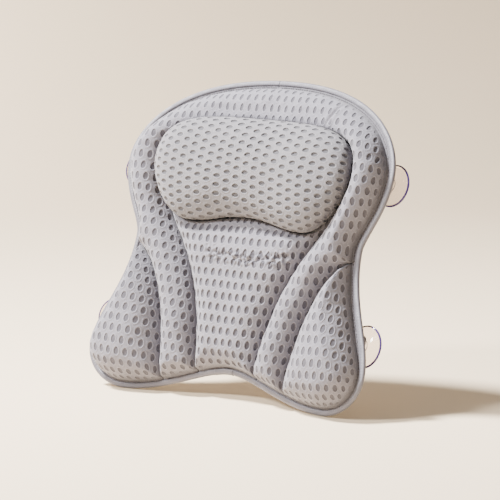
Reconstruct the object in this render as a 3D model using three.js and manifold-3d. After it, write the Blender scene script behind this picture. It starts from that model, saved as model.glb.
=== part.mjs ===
// Bath pillow: a quilted air-mesh backrest with a sewn-on head pillow, a bound edge and four suction cups.
// Millimetres, +Z up, front facing -Y. The pillow leans back as it does on the sloping end of a bath. The
// origin lies on the wall behind it, midway between the four cups.
import * as THREE from 'three';
import Module from 'manifold-3d';
import { mergeVertices } from 'three/addons/utils/BufferGeometryUtils.js';

// Backrest outline. Places on the panel are u to the right of its middle and v up from its lowest point.
const PANEL_HEIGHT = 376;
const SHOULDER_WIDTH = 377;
const SHOULDER_HEIGHT = 270;
const WAIST_WIDTH = 320;
const WAIST_HEIGHT = 182;
const LOBE_WIDTH = 390;
const LOBE_HEIGHT = 47;
const FOOT_SPACING = 286; // between the lowest points of the two lobes
const ARCH_RISE = 32;
const PANEL_SAG = 19; // how far the middle lies behind the two side edges
const LEAN_ANGLE = 17;

// How far along its span each handle of the outline's curves reaches, as a share
const ARCH_HANDLE_SHARE = 0.24;
const FOOT_HANDLE_SHARES = [0.39, 0.57];
const LOBE_HANDLE_SHARES = [0.53, 0.28];
const WAIST_HANDLE_SHARES = [0.43, 0.21];
const SHOULDER_HANDLE_SHARES = [0.48, 0.34];
const TOP_HANDLE_SHARE = 0.78;

// Quilting seams. The shares place the two handles of each curve in the span from its foot to its upper end.
const INNER_SEAM_FOOT = 41;
const INNER_SEAM_SIDE = 126;
const INNER_SEAM_HEIGHT = 258;
const INNER_SEAM_TOP = 306;
const INNER_SEAM_CORNER = 36; // radius of its corner under the head pillow
const INNER_SEAM_SHARES = [[0.14, 0.68], [1, 0.7]];
const OUTER_SEAM_FOOT = 87;
const OUTER_SEAM_HEIGHT = 175;
const OUTER_SEAM_SHARES = [[0.09, 0.55], [0.46, 0.93]];

// Plies, wadding and seams
const PLY = 3; // air mesh as it lies free
const FLAT_PLY = 1.5; // air mesh pressed flat in a seam
const CLEARANCE = 0.3;
const SEAM_FLAT = 1.2; // flat strip beside each quilting seam
const CENTRE_CROWN = 28;
const CENTRE_ROLL = 34; // distance from a seam in which a chamber reaches its crown
const YOKE_CROWN = 32;
const YOKE_ROLL = 26;
const LOBE_CROWN = 40;
const LOBE_ROLL = 36;
const BED_HEIGHT = 8; // the backrest is held this flat under the head pillow
const BED_MARGIN = 3; // it stays flat this far outside the head pillow
const BED_SLOPE_SHARE = 0.95; // and then rises by this share of the distance
const BLEND = 4; // softens the line where two heights meet

// Edge binding, a tape folded round the rim
const BINDING_REACH = 7.5;
const BINDING_WALL = 1.2;
const BINDING_FOLD_DEPTH = 2.4;
const BINDING_FOLD_SHARES = [[0, 0.35], [0.3, 0.75], [1, 1]]; // depth and half thickness along the fold
const JOIN_LEFT = 18; // the folded join of the two tapes, measured each way from the middle of the arch
const JOIN_RIGHT = 8;
const JOIN_WALL = 0.8;

// Head pillow, a bean with a hollowed lower edge
const HEAD_WIDTH = 277;
const HEAD_TOP = 324;
const HEAD_MIDDLE = 266;
const HEAD_LOW_SPACING = 162; // between the two lowest points of the lower edge
const HEAD_LOW = 199.5;
const HEAD_HOLLOW = 209.5;
const HEAD_TOP_SHARES = [0.62, 0.02];
const HEAD_SIDE_SHARES = [0.49, 0.63];
const HEAD_LOW_SHARES = [0.46, 0.4];
const HEAD_CROWN = 46;
const HEAD_ROLL = 50;
const HEAD_WIDEST = 13; // height at which the head pillow is widest
const HEAD_TUCK = 10; // how far its foot is drawn in under that
const HEAD_TUCK_SHARES = [[1, 0], [0.35, 0.42], [0, 1]]; // inset and height up its lower side
const HEAD_BASE_PLY = 2;
const HEAD_BASE_INSET = 8;

// Suction cups and the tabs that hold them. A share of the radius is followed by a share of the height.
const CUP_SPACING = 352;
const CUP_UPPER = 261.5;
const CUP_LOWER = 81.5;
const CUP_DIAMETER = 48;
const CUP_BELL = 6.5;
const CUP_LIP_WIDTH = 2.6; // flat ring that seals on the wall
const CUP_LIP_THICKNESS = 0.9;
const CUP_HOLLOW = 3.9;
const CUP_BELL_SHARES = [[0.86, 0.34], [0.66, 0.66], [0.45, 0.88], [0.3, 1]];
const CUP_HOLLOW_SHARES = [[0.78, 0.45], [0.5, 0.82], [0.22, 0.97]];
const KNOB_DIAMETER = 11;
const KNOB_HEIGHT = 2.4;
const KNOB_CHAMFER = 0.6;
const NECK_DIAMETER = 5.6;
const TAB_THICKNESS = 1.2;
const TAB_WIDTH = 24;
const TAB_OUTER_REACH = 12.7; // from the cup's axis to the end that lies on the binding
const TAB_INNER_REACH = 21;
const TAB_RAMP = 3; // slope beside the flat part that the knob sits under
const BUTTONHOLE_LENGTH = 11;
const OVERRUN = 5; // how far a cutting shape passes the piece it cuts

// Mesh fineness. The steps split the rim and the seams; all pieces that meet there use the same places.
const CURVE_STEPS = 96;
const ARCH_STEPS = 3; // from the middle of the arch to the inner seam
const STRIP_END_STEPS = 4; // on to the outer seam
const LOBE_STEPS = 15; // round the lobe to the waist
const SEAM_BELOW_SHARES = [0.14, 0.25, 0.37, 0.49, 0.61, 0.72, 0.82, 0.9, 0.96, 1]; // to the head pillow
const SEAM_BESIDE_SHARES = [0.07, 0.15, 0.27, 0.43, 0.62, 0.81, 1]; // on to the corner of the inner seam
const SEAM_CORNER_STEPS = 2;
const SEAM_TOP_STEPS = 6;
const END_SHARE = 0.2; // place of an extra row between the end of a chamber made of rows and its next row
const HEAD_SIDES = 40;
const CUP_SEGMENTS = 24;
const BUTTONHOLE_SEGMENTS = 6;
const RING_SHARES = [0.975, 0.9, 0.76, 0.54, 0.27]; // rings of a chamber, from its border to its middle
const CENTRE_COLUMN_SHARES = [0.04, 0.14, 0.3, 0.5, 0.7, 0.86, 0.96]; // columns across a chamber made of rows
const YOKE_COLUMN_SHARES = [0.04, 0.16, 0.37, 0.63, 0.84, 0.96];
const PLATE_RING_SHARES = [0.8, 0.4];
const BACK_RING_SHARES = [0.8, 0.6, 0.4, 0.2];
const WADDING_BACK_SHARE = 0.9;
const LOBE_MIDDLE_SHARE = 0.42; // height of the lobe's middle, as a share of the outer seam's
const SEARCH_STEP = 1;
const SEARCH_HALVINGS = 14;
const SEARCH_SLACK = 0.02; // lets a search run along a line that lies just at its keep

const HALF = 0.5;
const EDGE_HALF = LOBE_WIDTH * HALF;
const BASE = CLEARANCE * HALF; // faces on both sides of the middle ply's plane stay this far from it
const REAR = BASE + PLY; // the back of the panel and of its binding
const BINDING_GRIP = BASE + FLAT_PLY + CLEARANCE; // half the slot in the binding
const EDGE_KEEP = BINDING_WALL + BINDING_FOLD_DEPTH + CLEARANCE; // plies stop this far inside the outline
const FOOT_KEEP = BINDING_REACH + CLEARANCE; // chambers start this far from the outline

const { lerp, degToRad } = THREE.MathUtils;
const place = (u, v) => new THREE.Vector2(u, v);
const mirrored = (points) => points.map((p) => place(-p.x, p.y)).reverse();

// The panel is bent like a shallow cradle, so its middle ply lies behind the plane of the side edges
const sagAt = (u) => -PANEL_SAG * (1 - (u / EDGE_HALF) ** 2);

// How much the panel's rear has turned towards the rim at a distance u from the middle
const cupTilt = (u) => Math.atan(2 * PANEL_SAG * u / EDGE_HALF ** 2);

// A place on the panel, at a height in front of the middle ply, in the frame of the unleaned pillow
const onPanel = (p, height) => new THREE.Vector3(p.x, -height - sagAt(p.x), p.y);

// Curves on the right half of the panel

function outlineHalf() {
  const foot = FOOT_SPACING * HALF;
  const waist = WAIST_WIDTH * HALF;
  const shoulder = SHOULDER_WIDTH * HALF;
  const path = new THREE.Path();
  path.moveTo(0, ARCH_RISE);
  path.bezierCurveTo(foot * ARCH_HANDLE_SHARE, ARCH_RISE, foot * (1 - FOOT_HANDLE_SHARES[0]), 0, foot, 0);
  path.bezierCurveTo(lerp(foot, EDGE_HALF, FOOT_HANDLE_SHARES[1]), 0,
    EDGE_HALF, LOBE_HEIGHT * (1 - LOBE_HANDLE_SHARES[0]), EDGE_HALF, LOBE_HEIGHT);
  path.bezierCurveTo(EDGE_HALF, lerp(LOBE_HEIGHT, WAIST_HEIGHT, LOBE_HANDLE_SHARES[1]),
    waist, lerp(WAIST_HEIGHT, LOBE_HEIGHT, WAIST_HANDLE_SHARES[0]), waist, WAIST_HEIGHT);
  path.bezierCurveTo(waist, lerp(WAIST_HEIGHT, SHOULDER_HEIGHT, WAIST_HANDLE_SHARES[1]),
    shoulder, lerp(SHOULDER_HEIGHT, WAIST_HEIGHT, SHOULDER_HANDLE_SHARES[0]), shoulder, SHOULDER_HEIGHT);
  path.bezierCurveTo(shoulder, lerp(SHOULDER_HEIGHT, PANEL_HEIGHT, SHOULDER_HANDLE_SHARES[1]),
    shoulder * TOP_HANDLE_SHARE, PANEL_HEIGHT, 0, PANEL_HEIGHT);
  return path;
}

function headHalf() {
  const side = HEAD_WIDTH * HALF;
  const low = HEAD_LOW_SPACING * HALF;
  const path = new THREE.Path();
  path.moveTo(0, HEAD_HOLLOW);
  path.bezierCurveTo(low * HEAD_LOW_SHARES[0], HEAD_HOLLOW,
    low * (1 - HEAD_LOW_SHARES[1]), HEAD_LOW, low, HEAD_LOW);
  path.bezierCurveTo(lerp(low, side, 1 - HEAD_SIDE_SHARES[0]), HEAD_LOW,
    side, lerp(HEAD_LOW, HEAD_MIDDLE, HEAD_SIDE_SHARES[1]), side, HEAD_MIDDLE);
  path.bezierCurveTo(side, lerp(HEAD_TOP, HEAD_MIDDLE, HEAD_TOP_SHARES[1]),
    side * HEAD_TOP_SHARES[0], HEAD_TOP, 0, HEAD_TOP);
  return path;
}

const edge = outlineHalf();
const outline = edge.getSpacedPoints(CURVE_STEPS);
const headOutline = headHalf().getSpacedPoints(CURVE_STEPS);

// The share of the outline's length at which a measure of its points first reaches a value
function edgeShareWhere(measure, value) {
  const i = outline.findIndex((p) => measure(p) >= value);
  const [before, after] = [measure(outline[i - 1]), measure(outline[i])];
  return (i - 1 + (value - before) / (after - before)) / CURVE_STEPS;
}

const innerFootShare = edgeShareWhere((p) => p.x, INNER_SEAM_FOOT);
const outerFootShare = edgeShareWhere((p) => p.x, OUTER_SEAM_FOOT);
const waistShare = edgeShareWhere((p) => (p.x > FOOT_SPACING * HALF ? p.y : 0), OUTER_SEAM_HEIGHT);

const stepsBetween = (from, to, count) => Array.from({ length: count }, (_, i) => lerp(from, to, i / count));
const archShares = stepsBetween(0, innerFootShare, ARCH_STEPS);
const stripEndShares = stepsBetween(innerFootShare, outerFootShare, STRIP_END_STEPS);
const lobeShares = stepsBetween(outerFootShare, waistShare, LOBE_STEPS);
const hoopSteps = SEAM_BESIDE_SHARES.length + SEAM_CORNER_STEPS + SEAM_TOP_STEPS;
const hoopShares = [...stepsBetween(waistShare, 1, hoopSteps), 1];
const rimShares = [...archShares, ...stripEndShares, ...lobeShares, ...hoopShares];
const mirroredShares = (shares) => shares.filter((share) => share > 0).map((share) => -share).reverse();
const edgePoints = (shares) => shares.map((share) => edge.getPointAt(share));

function seam(foot, end, shares) {
  const handles = shares.map(([u, v]) => place(lerp(foot.x, end.x, u), lerp(foot.y, end.y, v)));
  return new THREE.CubicBezierCurve(foot, handles[0], handles[1], end);
}

const innerFoot = edge.getPointAt(innerFootShare);
const outerSeam = seam(edge.getPointAt(outerFootShare), edge.getPointAt(waistShare), OUTER_SEAM_SHARES);
const innerSide = seam(innerFoot, place(INNER_SEAM_SIDE, INNER_SEAM_HEIGHT), INNER_SEAM_SHARES);

// The inner seam's place at a height v
function innerSeamAt(v) {
  if (v >= INNER_SEAM_HEIGHT) return place(INNER_SEAM_SIDE, v);
  const line = innerSide.getSpacedPoints(CURVE_STEPS);
  const i = Math.max(line.findIndex((p) => p.y > v), 1);
  const [a, b] = [line[i - 1], line[i]];
  return place(lerp(a.x, b.x, (v - a.y) / (b.y - a.y)), v);
}

// Places along the inner seam: up its side, round its corner and along its top to the middle
function innerSeamPlaces() {
  const cornerFoot = INNER_SEAM_TOP - INNER_SEAM_CORNER;
  const below = SEAM_BELOW_SHARES.map((share) => innerSeamAt(lerp(innerFoot.y, HEAD_LOW, share)));
  const beside = SEAM_BESIDE_SHARES.map((share) => innerSeamAt(lerp(HEAD_LOW, cornerFoot, share)));
  const corner = Array.from({ length: SEAM_CORNER_STEPS }, (_, i) => {
    const angle = Math.PI * HALF * (i + 1) / SEAM_CORNER_STEPS;
    return place(INNER_SEAM_SIDE - INNER_SEAM_CORNER * (1 - Math.cos(angle)),
      cornerFoot + INNER_SEAM_CORNER * Math.sin(angle));
  });
  const side = [innerFoot, ...below, ...beside, ...corner];
  const topStart = corner.at(-1);
  const top = Array.from({ length: SEAM_TOP_STEPS }, (_, i) => (
    place(lerp(topStart.x, 0, (i + 1) / SEAM_TOP_STEPS), INNER_SEAM_TOP)));
  return { side, top };
}

const innerSeam = innerSeamPlaces();
const stripRows = SEAM_BELOW_SHARES.length;
const outerSeamPlaces = Array.from({ length: stripRows + 1 }, (_, i) => outerSeam.getPointAt(i / stripRows));
const innerSeamLine = [...innerSeam.side, ...innerSeam.top];

// Measuring on the panel. Every curve is the same on both halves, so distances are taken on the right.

function distanceTo(p, line) {
  const x = Math.abs(p.x);
  let least = Infinity;
  for (let i = 1; i < line.length; i += 1) {
    const [a, b] = [line[i - 1], line[i]];
    const [dx, dy] = [b.x - a.x, b.y - a.y];
    const share = THREE.MathUtils.clamp(((x - a.x) * dx + (p.y - a.y) * dy) / (dx * dx + dy * dy), 0, 1);
    least = Math.min(least, Math.hypot(x - a.x - share * dx, p.y - a.y - share * dy));
  }
  return least;
}

function isInside(p, line) {
  const x = Math.abs(p.x);
  let inside = false;
  line.forEach((b, i) => {
    const a = line[(i + line.length - 1) % line.length];
    const crosses = (a.y > p.y) !== (b.y > p.y);
    if (crosses && x < lerp(a.x, b.x, (p.y - a.y) / (b.y - a.y))) inside = !inside;
  });
  return inside;
}

// The place nearest to edge, on the line from middle to edge, that keeps its distance from each line
function pulledIn(middle, edge, keeps) {
  const span = middle.distanceTo(edge);
  const at = (distance) => middle.clone().lerp(edge, distance / span);
  const isClear = (distance) => keeps.every(([line, keep]) => (
    distanceTo(at(distance), line) >= keep - SEARCH_SLACK));
  let outer = span;
  while (outer > SEARCH_STEP && !isClear(outer - SEARCH_STEP)) outer -= SEARCH_STEP;
  let inner = Math.max(outer - SEARCH_STEP, 0);
  for (let i = 0; i < SEARCH_HALVINGS; i += 1) {
    const between = lerp(inner, outer, HALF);
    if (isClear(between)) inner = between;
    else outer = between;
  }
  return at(inner);
}

// About the distance to a closed loop where it is near, and smooth in the middle
function softDistance(p, loop) {
  let sum = 0;
  loop.forEach((b, i) => {
    const a = loop[(i + loop.length - 1) % loop.length];
    const pieces = Math.ceil(a.distanceTo(b) / PLY);
    for (let k = 0; k < pieces; k += 1) {
      const gap = a.clone().lerp(b, (k + HALF) / pieces).distanceTo(p);
      sum += a.distanceTo(b) / pieces / Math.max(gap, CLEARANCE) ** 3;
    }
  });
  return Math.sqrt(2 / sum);
}

const roundRise = (share) => Math.sqrt(1 - (1 - Math.min(share, 1)) ** 2);
const softMin = (a, b) => (a + b - Math.hypot(a - b, BLEND)) * HALF;

// The height that the head pillow leaves to the backrest: flat under it and rising outside it
function bedAt(p) {
  const away = isInside(p, headOutline) ? 0 : distanceTo(p, headOutline);
  return BED_HEIGHT + Math.max(away - BED_MARGIN, 0) * BED_SLOPE_SHARE;
}

// Solids from grids of points. A grid is a list of rows; a closed grid's rows run round a middle point.

function closedMesh(points, faces) {
  const geometry = new THREE.BufferGeometry();
  geometry.setAttribute('position', new THREE.Float32BufferAttribute(points.flatMap((p) => p.toArray()), 3));
  const volume = faces.reduce((sum, [a, b, c]) => sum + points[a].dot(points[b].clone().cross(points[c])), 0);
  geometry.setIndex((volume > 0 ? faces : faces.map(([a, b, c]) => [a, c, b])).flat());
  geometry.computeVertexNormals();
  return geometry;
}

// Four corners as two triangles, split from the first corner or from the second
const quad = (a, b, c, d) => [[a, b, c], [a, c, d]];
const quadFromSecond = (a, b, c, d) => [[a, b, d], [b, c, d]];

// Rings from the outside in, each with as many points, ending in a middle point on the front and on the back
function domeSolid(front, back) {
  const sides = front[0].length;
  const rings = [...back.slice(0, -1).reverse(), ...front.slice(0, -1)];
  const points = [...rings.flat(), back.at(-1), front.at(-1)];
  const [backMiddle, frontMiddle] = [points.length - 2, points.length - 1];
  const faces = [];
  for (let j = 0; j < sides; j += 1) {
    const next = (j + 1) % sides;
    for (let i = 0; i + 1 < rings.length; i += 1) {
      const split = i + 1 < back.length - 1 ? quadFromSecond : quad;
      faces.push(...split(i * sides + j, i * sides + next, (i + 1) * sides + next, (i + 1) * sides + j));
    }
    faces.push([next, j, backMiddle]);
    faces.push([(rings.length - 1) * sides + j, (rings.length - 1) * sides + next, frontMiddle]);
  }
  return closedMesh(points, faces);
}

// A front and a back grid of the same size, joined all the way round their border
function sheetSolid(front, back) {
  const [rows, columns] = [front.length, front[0].length];
  const points = [...front.flat(), ...back.flat()];
  const under = rows * columns;
  const faces = [];
  const at = (i, j) => i * columns + j;
  for (let i = 0; i + 1 < rows; i += 1) {
    for (let j = 0; j + 1 < columns; j += 1) {
      const cell = quad(at(i, j), at(i, j + 1), at(i + 1, j + 1), at(i + 1, j));
      faces.push(...cell, ...cell.map(([a, b, c]) => [under + a, under + c, under + b]));
    }
  }
  const border = [];
  for (let j = 0; j + 1 < columns; j += 1) border.push(at(0, j));
  for (let i = 0; i + 1 < rows; i += 1) border.push(at(i, columns - 1));
  for (let j = columns - 1; j > 0; j -= 1) border.push(at(rows - 1, j));
  for (let i = rows - 1; i > 0; i -= 1) border.push(at(i, 0));
  border.forEach((a, k) => {
    const b = border[(k + 1) % border.length];
    faces.push(...quad(b, a, under + a, under + b));
  });
  return closedMesh(points, faces);
}

// Margins from the outline and from each quilting seam, for plies and wadding that start further in each time
const seamLines = [innerSeamLine, outerSeamPlaces];
const keepsAt = (edge, fromSeam) => [[outline, edge], ...seamLines.map((line) => [line, fromSeam])];
const RIM = keepsAt(EDGE_KEEP, BASE);
const FOOT = keepsAt(FOOT_KEEP, BASE + SEAM_FLAT);
const LINING = keepsAt(FOOT_KEEP + PLY, BASE + SEAM_FLAT + PLY);
const WADDING = keepsAt(FOOT_KEEP + PLY + CLEARANCE, BASE + SEAM_FLAT + PLY + CLEARANCE);

// The rounded height of a chamber above its foot, under the limit that the head pillow sets
function chamberHeight(p, loop, layer) {
  const dome = layer.crown * roundRise(softDistance(p, loop) / layer.roll);
  return softMin(dome, bedAt(p) - layer.depth);
}

const ringsInside = (loop, middle, shares) => (
  shares.map((share) => loop.map((p) => middle.clone().lerp(p, share))));

// What each layer of a chamber keeps: its crown, its roll, and its depth under the cover's face
const INNER_STEP = PLY - FLAT_PLY;
const layers = (crown, roll) => ({
  cover: { crown, roll, foot: FLAT_PLY, depth: 0 },
  lining: { crown: crown - INNER_STEP, roll: roll - PLY, foot: 0, depth: INNER_STEP },
  wadding: {
    crown: crown - INNER_STEP - CLEARANCE, roll: roll - PLY - CLEARANCE,
    foot: 0, depth: INNER_STEP + CLEARANCE,
  },
});

// A chamber whose border can be seen whole from its middle: its cover, open at the back, and its wadding
function roundChamber(border, middle, crown, roll, side) {
  const raise = (points, heightAt) => points.map((p) => onPanel(place(p.x * side, p.y), heightAt(p)));
  const flat = (points, height) => raise(points, () => BASE + height);
  const surface = (loop, layer) => {
    const heightAt = (p) => BASE + layer.foot + chamberHeight(p, loop, layer);
    const rings = ringsInside(loop, middle, RING_SHARES);
    return [...rings.map((ring) => raise(ring, heightAt)), raise([middle], heightAt)[0]];
  };
  const [rim, foot, lining, wadding] = [RIM, FOOT, LINING, WADDING]
    .map((keeps) => border.map((p) => pulledIn(middle, p, keeps)));
  const layer = layers(crown, roll);
  const cover = domeSolid([flat(rim, FLAT_PLY), flat(foot, FLAT_PLY), ...surface(foot, layer.cover)],
    [flat(rim, 0), flat(lining, 0), ...surface(lining, layer.lining)]);
  const fill = domeSolid([flat(wadding, 0), ...surface(wadding, layer.wadding)],
    [flat(ringsInside(wadding, middle, [WADDING_BACK_SHARE])[0], 0), flat([middle], 0)[0]]);
  return { cover, fill };
}

// A chamber made of rows between two seams or edges. Its first and last rows lie along its two ends.
function rowChamber(rows, crown, roll, shares) {
  const gridOf = (borders) => {
    const grid = rows.map(([start, end]) => {
      const middle = start.clone().lerp(end, HALF);
      const [fromStart, fromEnd] = [start, end].map((side) => (
        borders.map((keeps) => pulledIn(middle, side, keeps))));
      const across = shares.map((share) => fromStart.at(-1).clone().lerp(fromEnd.at(-1), share));
      return [...fromStart, ...across, ...fromEnd.reverse()];
    });
    const columnShares = [...borders.map(() => 0), ...shares, ...borders.map(() => 1)];
    const endRows = (ends, nextEnds, next) => {
      const line = endLine(ends, nextEnds, next, columnShares);
      const border = borders.map((keeps) => next.map((p, j) => pulledIn(p, line[j], keeps)));
      return [...border, border.at(-1).map((p, j) => p.clone().lerp(next[j], END_SHARE))];
    };
    return [...endRows(rows[0], rows[1], grid[1]), ...grid.slice(1, -1),
      ...endRows(rows.at(-1), rows.at(-2), grid.at(-2)).reverse()];
  };
  const surface = (borders, layer) => {
    const grid = gridOf(borders);
    const skip = borders.length - 1;
    const [lastRow, lastColumn] = [grid.length - borders.length, grid[0].length - borders.length];
    const inner = grid.slice(skip, lastRow + 1).map((row) => row.slice(skip, lastColumn + 1));
    const between = inner.slice(1, -1);
    const loop = [...inner[0], ...between.map((row) => row.at(-1)), ...inner.at(-1).slice().reverse(),
      ...between.map((row) => row[0]).reverse()];
    const isDomed = (i, j) => i > skip && j > skip && i < lastRow && j < lastColumn;
    return grid.map((row, i) => row.map((p, j) => onPanel(p,
      BASE + layer.foot + (isDomed(i, j) ? chamberHeight(p, loop, layer) : 0))));
  };
  const layer = layers(crown, roll);
  const back = gridOf([WADDING]).map((row) => row.map((p) => onPanel(p, BASE)));
  return {
    cover: sheetSolid(surface([RIM, FOOT], layer.cover), surface([RIM, LINING], layer.lining)),
    fill: sheetSolid(surface([WADDING], layer.wadding), back),
  };
}

// The line where a chamber made of rows ends: its next row moved along the two seams, and on to the lower
// edge where the chamber ends there
function endLine(ends, nextEnds, next, columnShares) {
  const [fromStart, fromEnd] = ends.map((p, k) => p.clone().sub(nextEnds[k]));
  const isOnEdge = Math.max(ends[0].y, ends[1].y) <= ARCH_RISE;
  return next.map((p, j) => {
    const moved = p.clone().add(fromStart.clone().lerp(fromEnd, columnShares[j]));
    if (!isOnEdge) return moved;
    return edge.getPointAt(edgeShareWhere((q) => q.x, Math.abs(moved.x) + BASE)).setX(moved.x);
  });
}

// The centre panel's rows run from seam to seam. The yoke's run from the inner seam outwards, up one strip,
// round the hoop and down the other strip.

const centreRows = () => innerSeam.side.map((p) => [place(-p.x, p.y), p]);

function yokeRows() {
  const outer = [...outerSeamPlaces, ...edgePoints(hoopShares.slice(1))];
  const right = innerSeamLine.map((p, i) => [p, outer[i]]);
  const left = right.slice(0, -1).map((ends) => ends.map((p) => place(-p.x, p.y))).reverse();
  return [...right, ...left];
}

// The lobe's border, round its edge from the foot of the outer seam and back down the seam
const lobeMiddle = () => place((OUTER_SEAM_FOOT + EDGE_HALF) * HALF, OUTER_SEAM_HEIGHT * LOBE_MIDDLE_SHARE);
const lobeBorder = () => [...edgePoints(lobeShares), ...outerSeamPlaces.slice(1).reverse()];

// The head pillow: a cover open at the back and drawn in at its foot, its wadding and the ply it is sewn to

const HEAD_BASE_BACK = BASE + FLAT_PLY + BED_HEIGHT + CLEARANCE;
const HEAD_FOOT = HEAD_BASE_BACK + HEAD_BASE_PLY + CLEARANCE;

function headBorder() {
  const half = headHalf();
  const steps = HEAD_SIDES * HALF;
  const right = Array.from({ length: steps + 1 }, (_, i) => half.getPointAt(i / steps));
  return [...right, ...mirrored(right.slice(1, -1))];
}

function headPillow() {
  const border = headBorder();
  const middle = place(0, HEAD_MIDDLE);
  const loopAt = (inset) => border.map((p) => pulledIn(middle, p, [[headOutline, inset]]));
  const raise = (points, heightAt) => points.map((p) => onPanel(p, heightAt(p)));
  const shell = (inset) => {
    const widest = loopAt(inset);
    const side = HEAD_TUCK_SHARES.slice(0, -1).map(([tuck, rise]) => raise(loopAt(inset + HEAD_TUCK * tuck),
      () => HEAD_FOOT + HEAD_WIDEST * rise));
    const rise = HEAD_CROWN - HEAD_WIDEST - inset;
    const roll = HEAD_ROLL - inset;
    const heightAt = (p) => HEAD_FOOT + HEAD_WIDEST + rise * roundRise(softDistance(p, widest) / roll);
    const dome = ringsInside(widest, middle, RING_SHARES).map((ring) => raise(ring, heightAt));
    return [...side, raise(widest, () => HEAD_FOOT + HEAD_WIDEST), ...dome, raise([middle], heightAt)[0]];
  };
  const plate = (height) => {
    const loop = loopAt(HEAD_BASE_INSET);
    const rings = [loop, ...ringsInside(loop, middle, PLATE_RING_SHARES)];
    return [...rings.map((ring) => raise(ring, () => height)), raise([middle], () => height)[0]];
  };
  const wadding = shell(PLY + CLEARANCE);
  return {
    cover: domeSolid(shell(BASE), shell(PLY)),
    fill: domeSolid(wadding, [raise([middle], () => HEAD_FOOT)[0]]),
    base: domeSolid(plate(HEAD_BASE_BACK + HEAD_BASE_PLY), plate(HEAD_BASE_BACK)),
  };
}

// The back ply, thick inside and pressed flat where the binding grips it
function backPanel() {
  const middle = place(0, WAIST_HEIGHT);
  const right = edgePoints(rimShares);
  const border = [...right, ...mirrored(right.slice(1, -1))];
  const [rim, foot, full] = [EDGE_KEEP, FOOT_KEEP, FOOT_KEEP + FLAT_PLY]
    .map((keep) => border.map((p) => pulledIn(middle, p, [[outline, keep]])));
  const level = (points, height) => points.map((p) => onPanel(p, -height));
  const inside = ringsInside(full, middle, BACK_RING_SHARES);
  const front = [rim, foot, full, ...inside].map((ring) => level(ring, BASE));
  const thin = [rim, foot].map((ring) => level(ring, BASE + FLAT_PLY));
  const thick = [full, ...inside].map((ring) => level(ring, REAR));
  return domeSolid([...front, level([middle], BASE)[0]], [...thin, ...thick, level([middle], REAR)[0]]);
}

// Triangles that fill a flat section and run the same way round as its points
function capOf(section) {
  const turn = Math.sign(THREE.ShapeUtils.area(section));
  return THREE.ShapeUtils.triangulateShape(section, []).map(([a, b, c]) => {
    const sameWay = Math.sign(THREE.ShapeUtils.area([section[a], section[b], section[c]])) === turn;
    return sameWay ? [a, b, c] : [a, c, b];
  });
}

// The section of a tape folded round the rim, as insets from the outline and heights off the middle ply
function foldedSection(wall, grip, outermost) {
  const bend = (start, height) => BINDING_FOLD_SHARES.map(([depth, rise]) => (
    place(start + BINDING_FOLD_DEPTH * depth, height * rise)));
  const leg = [place(BINDING_REACH, grip + wall), place(BINDING_REACH, grip)];
  const front = [...bend(outermost, grip + wall), ...leg, ...bend(outermost + wall, grip).reverse()];
  return [...front, ...front.map((p) => place(p.x, -p.y)).reverse()];
}

// The section swept along the rim. Shares run from the top middle down the left side (-1) to the arch (0),
// and up the right side to the top middle (1). A side of 1 or -1 keeps clear of the other half's tape.
function foldedTape(section, shares, side) {
  const stations = shares.length - 1;
  const loops = shares.map((share) => {
    const turn = share < 0 ? -1 : 1;
    const p = edge.getPointAt(Math.abs(share));
    const along = edge.getTangentAt(Math.abs(share));
    const inwards = place(-along.y * turn, along.x);
    return section.map(({ x: inset, y: height }) => {
      const q = place(p.x * turn, p.y).addScaledVector(inwards, inset);
      const u = side === 0 ? q.x : side * Math.max(q.x * side, BASE);
      return onPanel(place(u, q.y), height);
    });
  });
  const count = section.length;
  const last = stations * count;
  const faces = [];
  for (let i = 0; i < stations; i += 1) {
    for (let j = 0; j < count; j += 1) {
      const [a, b] = [i * count + j, i * count + (j + 1) % count];
      faces.push(...quad(a, b, b + count, a + count));
    }
  }
  capOf(section).forEach(([a, b, c]) => faces.push([a, c, b], [last + a, last + b, last + c]));
  return closedMesh(loops.flat(), faces);
}

// Suction cups and tabs are made in a station of their own: X towards the rim, Y straight back from the panel

const KNOB_FRONT = CLEARANCE;
const KNOB_BACK = KNOB_FRONT + KNOB_HEIGHT;
const TAB_FRONT = KNOB_BACK + CLEARANCE;
const BELL_FRONT = TAB_FRONT + TAB_THICKNESS + CLEARANCE;
const CUP_RIM = BELL_FRONT + CUP_BELL;

function suctionCup() {
  const rim = CUP_DIAMETER * HALF;
  const lip = rim - CUP_LIP_WIDTH;
  const knob = KNOB_DIAMETER * HALF;
  const neck = NECK_DIAMETER * HALF;
  const profile = [
    place(0, KNOB_FRONT), place(knob - KNOB_CHAMFER, KNOB_FRONT), place(knob, KNOB_FRONT + KNOB_CHAMFER),
    place(knob, KNOB_BACK), place(neck, KNOB_BACK), place(neck, BELL_FRONT),
    ...CUP_BELL_SHARES.map(([r, h]) => place(rim * r, CUP_RIM - CUP_BELL * h)).reverse(),
    place(rim, CUP_RIM - CUP_LIP_THICKNESS), place(rim, CUP_RIM), place(lip, CUP_RIM),
    ...CUP_HOLLOW_SHARES.map(([r, h]) => place(lip * r, CUP_RIM - CUP_HOLLOW * h)),
    place(0, CUP_RIM - CUP_HOLLOW),
  ];
  return new THREE.LatheGeometry(profile, CUP_SEGMENTS);
}

const wasm = await Module();
wasm.setup();

function toSolid(geometry) {
  const bare = geometry.clone();
  bare.deleteAttribute('normal');
  bare.deleteAttribute('uv');
  const merged = mergeVertices(bare);
  return new wasm.Manifold(new wasm.Mesh({
    numProp: 3,
    vertProperties: merged.attributes.position.array,
    triVerts: new Uint32Array(merged.index.array),
  }));
}

function fromSolid(solid) {
  const mesh = solid.getMesh();
  const geometry = new THREE.BufferGeometry();
  geometry.setAttribute('position', new THREE.BufferAttribute(mesh.vertProperties, 3));
  geometry.setIndex(new THREE.BufferAttribute(mesh.triVerts, 1));
  geometry.computeVertexNormals();
  return geometry;
}

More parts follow.
